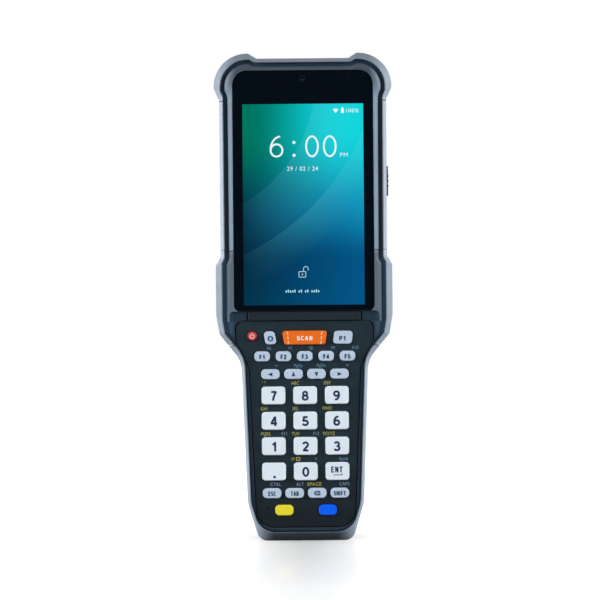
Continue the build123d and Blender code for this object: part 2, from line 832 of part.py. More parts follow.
def key_outline(key, y, grow=0.0):
    """Outline of a key's cap at depth y, grown outwards."""
    _, x, z, shape, _ = key
    with BuildSketch(level(y, x, z)) as sketch:
        if isinstance(shape, tuple):
            top_width, low_width, height, slant, radius = shape
            low, high = -height / 2, height / 2
            left_low, right_low = slant / 2 - low_width / 2, slant / 2 + low_width / 2
            left_top, right_top = -slant / 2 - top_width / 2, -slant / 2 + top_width / 2
            with BuildLine():
                FilletPolyline(
                    (left_low, low), (right_low, low), (right_top, high), (left_top, high),
                    radius=radius, close=True,
                )
            make_face()
        else:
            Circle(shape)
        if grow:
            offset(amount=grow)
    return sketch.sketch


def make_key(key):
    """Cap, flange under the keypad plate, and plunger over the dome."""
    name, x, z, _, proud = key
    cap_y = plate_y - proud
    with BuildPart() as cap:
        slab(key_outline(key, cap_y), cap_y, flange_y)
        fillet(front_edges(cap, cap_y), key_round)
        slab(key_outline(key, flange_y, key_flange), flange_y, flange_back_y)
        disc(x, z, plunger_radius, flange_back_y, plunger_y)
    save(cap.part, name)


for key in keys:
    make_key(key)

with BuildPart() as keypad_panel:
    slab(panel_outline(plate_y, 0), plate_y, panel_back_y)
    fillet(front_edges(keypad_panel, plate_y), panel_fit)
    for key in keys:
        slab(key_outline(key, plate_y, key_gap), plate_y, panel_back_y, Mode.SUBTRACT)
save(keypad_panel.part, "keypad_panel")

board_low_z = panel_low_z + board_low_rise
with BuildPart() as keypad_board:
    board_back_y = board_y + board_thickness
    slab(panel_outline(board_y, board_bearing - ledge_width), board_y, board_back_y)
    slab(outline(board_corners, board_y), board_y, board_back_y, Mode.INTERSECT)
    between(-far, far, board_y, board_back_y, board_low_z, far, Mode.INTERSECT)
save(keypad_board.part, "keypad_board")

with BuildPart() as dome_sheet:
    slab(panel_outline(film_y, -ledge_width - film_fit), film_y, board_y)
    between(-far, far, film_y, board_y, board_low_z + film_fit, far, Mode.INTERSECT)
    with BuildSketch(level(film_y)) as domes:
        with Locations([(x, z) for _, x, z, _, _ in keys]):
            Circle(dome_radius)
    extrude(domes.sketch, amount=dome_height, taper=dome_taper)
save(dome_sheet.part, "dome_sheet")

# ---------------------------------------------------------------------------------------------
# Side key, carried in the right wall
# ---------------------------------------------------------------------------------------------
side_share = (side_key_z - side_low_z) / (side_top_z - side_low_z)
side_half = side_low_half + (side_top_half - side_low_half) * side_share
side_inner_x = side_half - side_strip - wall
flange_outer_x = side_inner_x - key_gap
side_key_x = side_half + side_key_proud


def side_key_outline(x, grow=0.0):
    """Outline of the side key in the plane across X."""
    with BuildSketch(Plane.YZ.offset(x)) as sketch:
        with Locations((side_key_y, side_key_z)):
            RectangleRounded(
                side_key_width + 2 * grow, side_key_length + 2 * grow, side_key_radius + grow
            )
    return sketch.sketch


with BuildPart() as right_side_key:
    extrude(side_key_outline(flange_outer_x), amount=side_key_x - flange_outer_x)
    fillet(right_side_key.faces().sort_by(Axis.X)[-1].edges(), side_key_round)
    inner_x = flange_outer_x - side_key_flange_thickness
    extrude(side_key_outline(inner_x, side_key_flange), amount=side_key_flange_thickness)
save(right_side_key.part, "right_side_key")

# ---------------------------------------------------------------------------------------------
# Main board and its shield cans
# ---------------------------------------------------------------------------------------------
main_board_back_y = main_board_y + main_board_thickness
main_board_z = (main_board_low_z + main_board_top_z) / 2
with BuildPart() as main_board:
    tile(
        0, main_board_z, 2 * main_board_half, main_board_top_z - main_board_low_z, post_radius,
        main_board_y, main_board_back_y,
    )
    for side in (-1, 1):
        for z in upper_screw_heights:
            notch = front_post_radius + post_notch_fit
            disc(side * upper_screw_half, z, notch, main_board_y, main_board_back_y, Mode.SUBTRACT)
save(main_board.part, "main_board")

with BuildPart() as shield_cans:
    can_back_y = main_board_back_y + can_height
    for x, rise, width, height in can_sizes:
        z = main_board_low_z + rise
        tile(x, z, width, height, post_radius, main_board_back_y, can_back_y)
        inner = (width - 2 * can_wall, height - 2 * can_wall, post_radius - can_wall)
        tile(x, z, *inner, main_board_back_y, can_back_y - can_wall, Mode.SUBTRACT)
save(shield_cans.part, "shield_cans")

# ---------------------------------------------------------------------------------------------
# Seal and rear housing
# ---------------------------------------------------------------------------------------------
with BuildPart() as housing_seal:
    with BuildSketch(level(front_back_y)) as seal_face:
        add(outline(core_corners, front_back_y))
        add(outline(rear_corners, front_back_y), mode=Mode.INTERSECT)
        offset(amount=-seal_width, mode=Mode.SUBTRACT)
    slab(seal_face.sketch, front_back_y, rear_front_y)
save(housing_seal.part, "housing_seal")

with BuildPart() as rear_cavity:
    slab(outline(rear_inner_corners, rear_front_y), rear_front_y, cavity_back_y)
    fillet(front_edges(rear_cavity, cavity_back_y), rear_inner_round)

with BuildPart() as hump:
    hump_front_y = head_back_y - hump_sink
    slab(outline(hump_corners, hump_front_y), hump_front_y, back_y)
    fillet(front_edges(hump, back_y), hump_round)

with BuildPart() as rim:
    slab(outline(rear_corners, rear_front_y), rear_front_y, rear_front_y + wall)
    slab(outline(core_inner_corners, rear_front_y), rear_front_y, rear_front_y + wall, Mode.SUBTRACT)

bay_corners = [(bay_half, bay_low_z, least_radius), (bay_half, bay_top_z, bay_radius)]
tub_corners = inset_outline(bay_corners, [-tub_wall] * 3)
lens_hole_radius = lens_window_radius - rear_window_ledge
rear_window_y = head_back_y - rear_window_thickness
keeper_top_z = bolt_end_z + latch_travel + keeper_spare

with BuildPart() as rear_housing:
    slab(outline(rear_corners, rear_front_y), rear_front_y, head_back_y)
    fillet(front_edges(rear_housing, head_back_y), rear_round)
    add(hump.part)
    add(rear_cavity.part, mode=Mode.SUBTRACT)
    add(rim.part)
    slab(outline(tub_corners, bay_floor_y - tub_wall), bay_floor_y - tub_wall, head_back_y)
    slab(outline(bay_corners, bay_floor_y), bay_floor_y, back_y, Mode.SUBTRACT)
    # Posts and holes for the screws
    for x, z in screw_places:
        disc(x, z, rear_post_radius, rear_front_y, cavity_back_y)
        disc(x, z, screw_radius + screw_hole_fit, rear_front_y, screw_seat_y, Mode.SUBTRACT)
        disc(x, z, screw_head_radius + counterbore_fit, screw_seat_y, back_y, Mode.SUBTRACT)
    # Bosses of the accessory screws
    for side in (-1, 1):
        x, mouth_y = side * accessory_half, head_back_y - accessory_depth
        disc(x, accessory_z, accessory_boss_radius, mouth_y - tub_wall, cavity_back_y)
        disc(x, accessory_z, accessory_radius, mouth_y, head_back_y, Mode.SUBTRACT)
    # Camera window, flash window, loudspeaker grille
    disc(rear_camera_x, rear_camera_z, lens_hole_radius, cavity_back_y, head_back_y, Mode.SUBTRACT)
    for z, radius in ((rear_camera_z, lens_window_radius), (flash_z, flash_window_radius)):
        disc(rear_camera_x, z, radius + window_fit, rear_window_y, head_back_y, Mode.SUBTRACT)
    for index in range(grille_slots):
        x = speaker_x + (index - (grille_slots - 1) / 2) * grille_pitch
        slot = (grille_slot_width, grille_slot_length, grille_slot_width / 2 - window_fit)
        tile(x, rear_camera_z, *slot, cavity_back_y, head_back_y, Mode.SUBTRACT)
    # Scan window in the top wall
    opening = window_half - window_ledge
    between(
        -opening, opening, window_front_y + window_ledge, window_back_y - window_ledge,
        rear_top_z - 2 * wall, rear_top_z, Mode.SUBTRACT,
    )
    pocket = window_half + window_fit
    between(
        -pocket, pocket, window_front_y - window_fit, window_back_y + window_fit,
        window_low_z, rear_top_z, Mode.SUBTRACT,
    )
    # Sockets of the cover's pivots, and the keeper of its latch
    for side in (-1, 1):
        with BuildSketch(Plane.YZ.offset(side * (cover_half + pivot_length + cover_fit))) as socket:
            with Locations((pivot_y, pivot_z)):
                Circle(pivot_radius + pivot_fit)
        extrude(socket.sketch, amount=-side * (pivot_length + 2 * cover_fit), mode=Mode.SUBTRACT)
    between(
        -bolt_half - latch_fit, bolt_half + latch_fit, cover_y + latch_floor,
        latch_front_y + bolt_thickness + latch_fit, bay_top_z - cover_fit, keeper_top_z, Mode.SUBTRACT,
    )
    # Slot of the battery contacts and of the dock connector
    between(
        -contact_half - cover_fit, contact_half + cover_fit, bay_floor_y - tub_wall, bay_floor_y,
        contact_z - contact_height / 2 - cover_fit, contact_z + contact_height / 2 + cover_fit,
        Mode.SUBTRACT,
    )
    between(
        -dock_half - cover_fit, dock_half + cover_fit, dock_front_y - cover_fit,
        dock_front_y + dock_depth + cover_fit, 0, wall, Mode.SUBTRACT,
    )
save(rear_housing.part, "rear_housing")

# ---------------------------------------------------------------------------------------------
# Scan engine and window, rear camera and windows, loudspeaker
# ---------------------------------------------------------------------------------------------
with BuildPart() as scan_window:
    between(-window_half, window_half, window_front_y, window_back_y, window_low_z, rear_top_z)
    fillet(scan_window.edges().filter_by(Axis.Z), least_radius)
save(scan_window.part, "scan_window")

with BuildPart() as scan_engine:
    engine_y = cavity_back_y - engine_depth / 2
    between(
        -engine_half, engine_half, cavity_back_y - engine_depth, cavity_back_y, engine_low_z, engine_top_z
    )
    fillet(scan_engine.edges().filter_by(Axis.Z), least_radius)
    with BuildSketch(Plane.XY.offset(engine_top_z)) as eyes:
        with Locations((-engine_half / 2, engine_y), (engine_half / 2, engine_y)):
            Circle(engine_eye_radius)
    extrude(eyes.sketch, amount=-wall, mode=Mode.SUBTRACT)
save(scan_engine.part, "scan_engine")

with BuildPart() as rear_camera:
    tile(
        rear_camera_x, rear_camera_z, rear_camera_size, rear_camera_size, least_radius,
        cavity_back_y - rear_camera_depth, cavity_back_y,
    )
    barrel_y = rear_window_y - window_fit
    disc(rear_camera_x, rear_camera_z, barrel_radius, cavity_back_y, barrel_y)
    disc(rear_camera_x, rear_camera_z, barrel_radius / 2, cavity_back_y, barrel_y, Mode.SUBTRACT)
save(rear_camera.part, "rear_camera")

with BuildPart() as camera_window:
    disc(rear_camera_x, rear_camera_z, lens_window_radius, rear_window_y, head_back_y)
    disc(rear_camera_x, flash_z, flash_window_radius, rear_window_y, head_back_y)
save(camera_window.part, "camera_window")

with BuildPart() as loudspeaker:
    speaker_y = cavity_back_y - speaker_depth
    tile(speaker_x, rear_camera_z, speaker_width, speaker_height, post_radius, speaker_y, cavity_back_y)
    fillet(front_edges(loudspeaker, speaker_y), least_radius)
save(loudspeaker.part, "loudspeaker")

# ---------------------------------------------------------------------------------------------
# Screws: one node of separate, identical solids
# ---------------------------------------------------------------------------------------------
with BuildPart() as housing_screws:
    head_y = screw_seat_y + screw_head_height
    for x, z in screw_places:
        disc(x, z, screw_radius, screw_tip_y, screw_seat_y)
        disc(x, z, screw_head_radius, screw_seat_y, head_y)
        with BuildSketch(level(head_y - screw_drive_depth, x, z)) as drive:
            RegularPolygon(screw_drive_radius, 6)
        slab(drive.sketch, head_y - screw_drive_depth, head_y, Mode.SUBTRACT)
save(housing_screws.part, "housing_screws")

# ---------------------------------------------------------------------------------------------
# Battery: pack, cover on its pivots, sliding latch, contacts
# ---------------------------------------------------------------------------------------------
pack_low_z = bay_low_z + pack_low_gap
pack_top_z = bay_top_z - pack_top_gap
with BuildPart() as battery_pack:
    pack_z = (pack_low_z + pack_top_z) / 2
    tile(0, pack_z, 2 * pack_half, pack_top_z - pack_low_z, pack_round, pack_front_y, cover_y)
    fillet(front_edges(battery_pack, pack_front_y), pack_round)
save(battery_pack.part, "battery_pack")

cover_corners = [(cover_half, pivot_z, 0), (cover_half, cover_top_z, bay_radius - cover_fit)]
slider_z = (latch_low_z + latch_top_z) / 2
well_low_z = latch_low_z - latch_fit
well_top_z = latch_top_z + latch_travel + latch_fit
with BuildPart() as battery_door:
    slab(outline(cover_corners, cover_y), cover_y, back_y)
    with BuildSketch(Plane.YZ.offset(-cover_half)) as roll:
        with Locations((pivot_y, pivot_z)):
            Circle(cover_thickness / 2)
    extrude(roll.sketch, amount=2 * cover_half)
    with BuildSketch(Plane.YZ.offset(-cover_half - pivot_length)) as pivots:
        with Locations((pivot_y, pivot_z)):
            Circle(pivot_radius)
    extrude(pivots.sketch, amount=2 * (cover_half + pivot_length))
    tile(
        0, (well_low_z + well_top_z) / 2, 2 * (latch_half + latch_fit), well_top_z - well_low_z,
        latch_fit, cover_y + latch_floor, back_y, Mode.SUBTRACT,
    )
    between(
        -bolt_half - latch_fit, bolt_half + latch_fit, cover_y + latch_floor,
        latch_front_y + bolt_thickness + latch_fit, well_top_z, cover_top_z, Mode.SUBTRACT,
    )
save(battery_door.part, "battery_door")

with BuildPart() as battery_latch:
    tile(0, slider_z, 2 * latch_half, latch_length, latch_fit, latch_front_y, back_y)
    for index in range(latch_ridges):
        ridge_z = slider_z + (index - (latch_ridges - 1) / 2) * latch_ridge_pitch
        between(
            -latch_half, latch_half, back_y - latch_ridge_depth, back_y,
            ridge_z - latch_ridge_pitch / 4, ridge_z + latch_ridge_pitch / 4, Mode.SUBTRACT,
        )
    between(-bolt_half, bolt_half, latch_front_y, latch_front_y + bolt_thickness, latch_top_z, bolt_end_z)
save(battery_latch.part, "battery_latch")

with BuildPart() as battery_contacts:
    between(
        -contact_half, contact_half, bay_floor_y - contact_depth, bay_floor_y,
        contact_z - contact_height / 2, contact_z + contact_height / 2,
    )
    for index in range(contact_pins):
        x = (index - (contact_pins - 1) / 2) * contact_pin_pitch
        disc(x, contact_z, contact_pin_radius, bay_floor_y, pack_front_y - cover_fit)
save(battery_contacts.part, "battery_contacts")

# ---------------------------------------------------------------------------------------------
# Dock connector in the foot
# ---------------------------------------------------------------------------------------------
with BuildPart() as dock_connector:
    dock_back_y = dock_front_y + dock_depth
    dock_top_z = dock_recess + dock_height
    between(-dock_half, dock_half, dock_front_y, dock_back_y, dock_recess, dock_top_z)
    between(
        -dock_half - dock_flange, dock_half + dock_flange, dock_front_y - dock_flange,
        dock_back_y + dock_flange, wall, wall + dock_flange,
    )
    with BuildSketch(Plane.XY.offset(dock_recess / 2)) as pads:
        with Locations((0, dock_front_y + dock_depth / 2)):
            with GridLocations(dock_pad_pitch, 1, dock_pads, 1):
                Circle(dock_pad_radius)
    extrude(pads.sketch, amount=dock_recess)
save(dock_connector.part, "dock_connector")
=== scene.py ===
"""Dresses the portable barcode data terminal: finishes, key legends, lit screen, trim, stage and camera.

Every length in the dataclasses is in millimetres in the part's own frame: +X to the right of the face,
+Z up, -Y out of the face. MM turns them into the scene's metres.
"""

import logging
import math
from dataclasses import dataclass, field
from enum import Enum

import bpy
import numpy as np
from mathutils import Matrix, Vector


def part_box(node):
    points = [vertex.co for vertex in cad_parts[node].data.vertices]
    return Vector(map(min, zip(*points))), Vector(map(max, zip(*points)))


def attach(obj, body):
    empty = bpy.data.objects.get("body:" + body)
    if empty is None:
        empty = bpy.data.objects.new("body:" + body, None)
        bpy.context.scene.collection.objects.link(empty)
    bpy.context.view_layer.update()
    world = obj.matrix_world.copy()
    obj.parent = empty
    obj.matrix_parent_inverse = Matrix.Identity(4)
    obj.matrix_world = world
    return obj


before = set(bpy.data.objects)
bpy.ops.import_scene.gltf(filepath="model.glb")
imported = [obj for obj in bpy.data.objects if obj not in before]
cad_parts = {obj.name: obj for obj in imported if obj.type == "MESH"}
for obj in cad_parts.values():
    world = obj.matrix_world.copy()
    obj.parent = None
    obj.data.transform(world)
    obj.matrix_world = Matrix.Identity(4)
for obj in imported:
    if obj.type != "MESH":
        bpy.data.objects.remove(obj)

MM = 0.001
Colour = tuple[int, int, int]
Place = tuple[float, float, float]
Shade = tuple[float, float, float, float]
Loop = np.ndarray
Socket = bpy.types.NodeSocket
Value = Socket | float | Place | Shade
NONE: Shade = (0.0, 0.0, 0.0, 1.0)
FULL: Shade = (1.0, 1.0, 1.0, 1.0)
log = logging.getLogger("terminal")


def linear(colour: Colour, share: float = 1.0) -> Shade:
    """Scene-linear RGBA of a colour named in display values from 0 to 255, made darker or paler.

    Formula: below 0.04045 a value is divided by 12.92, above it is ((v + 0.055) / 1.055) to the 2.4; the
    share multiplies it, up to 1.

    Args:
        colour: Red, green and blue from 0 to 255.
        share: What the colour is multiplied by.

    Returns:
        Red, green, blue and alpha from 0 to 1.
    """
    v = np.array(colour, float) / 255
    v = np.where(v <= 0.04045, v / 12.92, ((v + 0.055) / 1.055) ** 2.4)
    return (*np.minimum(v * share, 1.0).tolist(), 1.0)


class Wiring:
    """A node tree, with short ways to add, set and join its nodes."""

    def __init__(self, owner: bpy.types.Material | bpy.types.World) -> None:
        """Empty the tree of its owner.

        Args:
            owner: Material or world that the tree belongs to.
        """
        owner.use_nodes = True
        self.tree = owner.node_tree
        self.tree.nodes.clear()

    def node(self, kind: str, inputs: dict[str | int, Value] | None = None,
             **settings: str | int) -> bpy.types.Node:
        """Add a node.

        Args:
            kind: Type name of the node.
            inputs: Value or output socket for each named or numbered input.
            **settings: Properties of the node.

        Returns:
            The new node.
        """
        node = self.tree.nodes.new(kind)
        for key, value in settings.items():
            setattr(node, key, value)
        for key, value in (inputs or {}).items():
            self.put(node.inputs[key], value)
        return node

    def put(self, socket: Socket, value: Value) -> None:
        """Set a socket to a value, or link an output to it.

        Args:
            socket: Input socket.
            value: Value, or output socket.
        """
        if isinstance(value, Socket):
            self.tree.links.new(value, socket)
        else:
            socket.default_value = value

    def place(self, kind: str = "Object") -> Socket:
        """Coordinates of a point, in metres for those of the object."""
        return self.node("ShaderNodeTexCoord").outputs[kind]

    def axes(self, kind: str = "Object") -> tuple[Socket, Socket, Socket]:
        """X, Y and Z of those coordinates."""
        return tuple(self.node("ShaderNodeSeparateXYZ", {0: self.place(kind)}).outputs.values())

    def math(self, operation: str, *terms: Value) -> Socket:
        """Result of one Math node on up to three terms."""
        return self.node("ShaderNodeMath", dict(enumerate(terms)), operation=operation).outputs[0]

    def noise(self, size_mm: float, detail: float = 2.0) -> Socket:
        """Noise from 0 to 1 whose features are about size_mm across."""
        inputs = {"Vector": self.place(), "Scale": 1 / (size_mm * MM), "Detail": detail}
        return self.node("ShaderNodeTexNoise", inputs).outputs["Fac"]

    def span(self, value: Value, low: float, high: float, to_low: float = 0.0, to_high: float = 1.0,
             kind: str = "LINEAR") -> Socket:
        """Value carried from one range to another, held at its ends.

        Args:
            value: What is carried.
            low: Start of its range.
            high: End of its range.
            to_low: What low becomes.
            to_high: What high becomes.
            kind: Name of the interpolation.

        Returns:
            The value in its new range.
        """
        inputs = dict(enumerate((value, low, high, to_low, to_high)))
        return self.node("ShaderNodeMapRange", inputs, interpolation_type=kind).outputs[0]

    def mix(self, factor: Value, first: Value, second: Value) -> Socket:
        """Colour that goes from the first to the second as the factor goes from 0 to 1."""
        return self.node("ShaderNodeMix", {0: factor, 6: first, 7: second}, data_type="RGBA").outputs[2]


class Paint(Wiring):
    """Node tree of a new material, with a Principled shader on its output."""

    def __init__(self, name: str) -> None:
        """Start the material, whose name is set apart from the plain ones that the frame brings.

        Args:
            name: Name of the finish.
        """
        self.material = bpy.data.materials.new(f"finish_{name}")
        super().__init__(self.material)
        self.shader = self.node("ShaderNodeBsdfPrincipled")
        self.node("ShaderNodeOutputMaterial", {"Surface": self.shader.outputs[0]})

    def shade(self, **values: Value) -> bpy.types.Material:
        """Set or link the shader's sockets, written with _ for each space.

        Args:
            **values: Value or output socket for each socket's name.

        Returns:
            The finished material.
        """
        for key, value in values.items():
            self.put(self.shader.inputs[key.replace("_", " ")], value)
        return self.material

    def rounding(self, radius_mm: float) -> Socket:
        """Normal rounded over edges by that radius."""
        return self.node("ShaderNodeBevel", {"Radius": radius_mm * MM}, samples=4).outputs[0]

    def sharpness(self, rounded: Socket) -> Socket:
        """How near an edge a point lies, from 0 to 1.

        Formula: one less the dot product of the true and the rounded normal, where 0.2 counts as 1.

        Args:
            rounded: Normal rounded over the edge.

        Returns:
            The nearness.
        """
        true = self.node("ShaderNodeNewGeometry").outputs["Normal"]
        dot = self.node("ShaderNodeVectorMath", {0: rounded, 1: true}, operation="DOT_PRODUCT")
        return self.span(dot.outputs["Value"], 1.0, 0.8)

    def bump(self, height: Value, depth_mm: float, normal: Socket) -> Socket:
        """Normal tilted by a height that spans depth_mm from 0 to 1."""
        inputs = {"Height": height, "Distance": depth_mm * MM, "Strength": 1.0, "Normal": normal}
        return self.node("ShaderNodeBump", inputs).outputs[0]


@dataclass(frozen=True)
class Zone:
    """Part of a piece, mirrored left and right, where its colour is darker or paler, with soft ends; the
    darker zones of the guard, bezel and plate are painted shade.
    """

    low_z: float
    high_z: float
    inner_x: float
    outer_x: float
    share: float                  # what the colour is multiplied by inside
    fade_z: float = 2.0
    fade_x: float = 2.0

    def share_here(self, w: Paint) -> Socket:
        """Multiplier of the colour at each point.

        Formula: a ramp from 0 to 1 over the fade at each of the four sides, all multiplied, takes the
        multiplier from 1 outside to the share inside.

        Args:
            w: The material's tree.

        Returns:
            The multiplier.
        """
        x, _, z = w.axes()
        inside: Value = 1.0
        for value, low, high, fade in ((z, self.low_z, self.high_z, self.fade_z),
                                       (w.math("ABSOLUTE", x), self.inner_x, self.outer_x, self.fade_x)):
            inside = w.math("MULTIPLY", inside, w.span(value, (low - fade) * MM, low * MM))
            inside = w.math("MULTIPLY", inside, w.span(value, high * MM, (high + fade) * MM, 1.0, 0.0))
        return w.span(inside, 0.0, 1.0, 1.0, self.share)


@dataclass(frozen=True)
class Moulded:
    """Moulded plastic or elastomer: slow clouds in its colour, a fine grain, and paler edges, partly rubbed
    wear and partly painted highlight.
    """

    name: str
    colour: Colour
    roughness: float = 0.45
    cloud: float = 0.05           # share by which the colour wanders
    cloud_mm: float = 9.0
    grain_mm: float = 0.35
    grain_depth_mm: float = 0.008
    edge: float = 0.10            # share by which edges turn paler: partly rubbed wear, partly painted highlight
    edge_mm: float = 0.25
    specular: float = 0.5
    coat: float = 0.0
    zones: tuple[Zone, ...] = ()
    wear_and_highlight_level: float = 0.8       # what the paler edges turn towards
    wear_and_highlight_mm: float = 2.5
    wander: float = 0.05          # of the roughness, with the grain

    def build(self) -> bpy.types.Material:
        """Material: the base colour times a noise near one and scaled in its zones, paler at edges (partly
        wear, partly painted highlight), with grain as bump.
        """
        w = Paint(self.name)
        # Paler edges: partly rubbed wear, partly a painted highlight where the lamps catch an edge.
        rubbed_and_highlit = tuple(v + (self.wear_and_highlight_level - v) * self.edge for v in linear(self.colour)[:3]) + (1.0,)
        colour = w.mix(w.span(w.noise(self.cloud_mm, 4.0), 0.3, 0.7),
                       linear(self.colour, 1 - self.cloud), linear(self.colour, 1 + self.cloud))
        for zone in self.zones:
            inputs = {0: colour, "Scale": zone.share_here(w)}
            colour = w.node("ShaderNodeVectorMath", inputs, operation="SCALE").outputs[0]
        rounded = w.rounding(self.edge_mm)
        wear_and_highlight = w.math("MULTIPLY", w.sharpness(rounded), w.span(w.noise(self.wear_and_highlight_mm, 3.0), 0.35, 0.65, 0.5))
        grain = w.noise(self.grain_mm, 3.0)
        return w.shade(
            Base_Color=w.mix(wear_and_highlight, colour, rubbed_and_highlit),
            Roughness=w.span(grain, 0.3, 0.7, self.roughness - self.wander, self.roughness + self.wander),
            Specular_IOR_Level=self.specular,
            Coat_Weight=self.coat,
            Coat_Roughness=0.2,
            Normal=w.bump(grain, self.grain_depth_mm, rounded),
        )


@dataclass(frozen=True)
class Printed:
    """Ink of a printed mark: nearly flat colour with a faint mottle from its screen."""

    name: str
    colour: Colour
    roughness: float = 0.5
    thin: float = 0.88            # share of the colour where the ink is thin

    def build(self) -> bpy.types.Material:
        """Material: the ink's colour times a fine noise near one."""
        w = Paint(self.name)
        mottle = w.span(w.noise(0.15, 1.0), 0.3, 0.7)
        return w.shade(
            Base_Color=w.mix(mottle, linear(self.colour, self.thin), linear(self.colour)),
            Roughness=self.roughness,
            Specular_IOR_Level=0.3,
        )


@dataclass(frozen=True)
class Glow:
    """Lit mark on the screen: its colour shines by itself, a little uneven."""

    name: str
    colour: Colour
    dim: float = 0.96             # share of the colour where it shines least

    def build(self) -> bpy.types.Material:
        """Material: emission of the colour, times a faint noise, over a black base."""
        w = Paint(self.name)
        return w.shade(
            Base_Color=NONE,
            Emission_Color=w.mix(w.noise(0.5, 1.0), linear(self.colour, self.dim), linear(self.colour)),
            Emission_Strength=1.0,
            Roughness=0.15,
            Specular_IOR_Level=0.1,
        )


@dataclass(frozen=True)
class Metal:
    """Bare or plated metal: fine scratches along Z and a wandering gloss."""

    name: str
    colour: Colour
    roughness: float = 0.3
    dark: float = 0.8             # share of the colour in a scratch
    wander: float = 0.08          # of the roughness, with the scratches
    edge_mm: float = 0.1
    stretch: Place = (1.0, 1.0, 12.0)   # of the noise that draws the scratches
    scale: float = 2500.0         # of that noise, per metre

    def build(self) -> bpy.types.Material:
        """Material: metallic colour with bump from a noise drawn out along one axis."""
        w = Paint(self.name)
        drawn = w.node("ShaderNodeMapping", {"Vector": w.place(), "Scale": self.stretch}).outputs[0]
        inputs = {"Vector": drawn, "Scale": self.scale, "Detail": 3.0}
        lines = w.node("ShaderNodeTexNoise", inputs).outputs["Fac"]
        return w.shade(
            Base_Color=w.mix(w.span(lines, 0.3, 0.7), linear(self.colour, self.dark), linear(self.colour)),
            Metallic=1.0,
            Roughness=w.span(lines, 0.3, 0.7, self.roughness - self.wander, self.roughness + self.wander),
            Normal=w.bump(lines, 0.004, w.rounding(self.edge_mm)),
        )


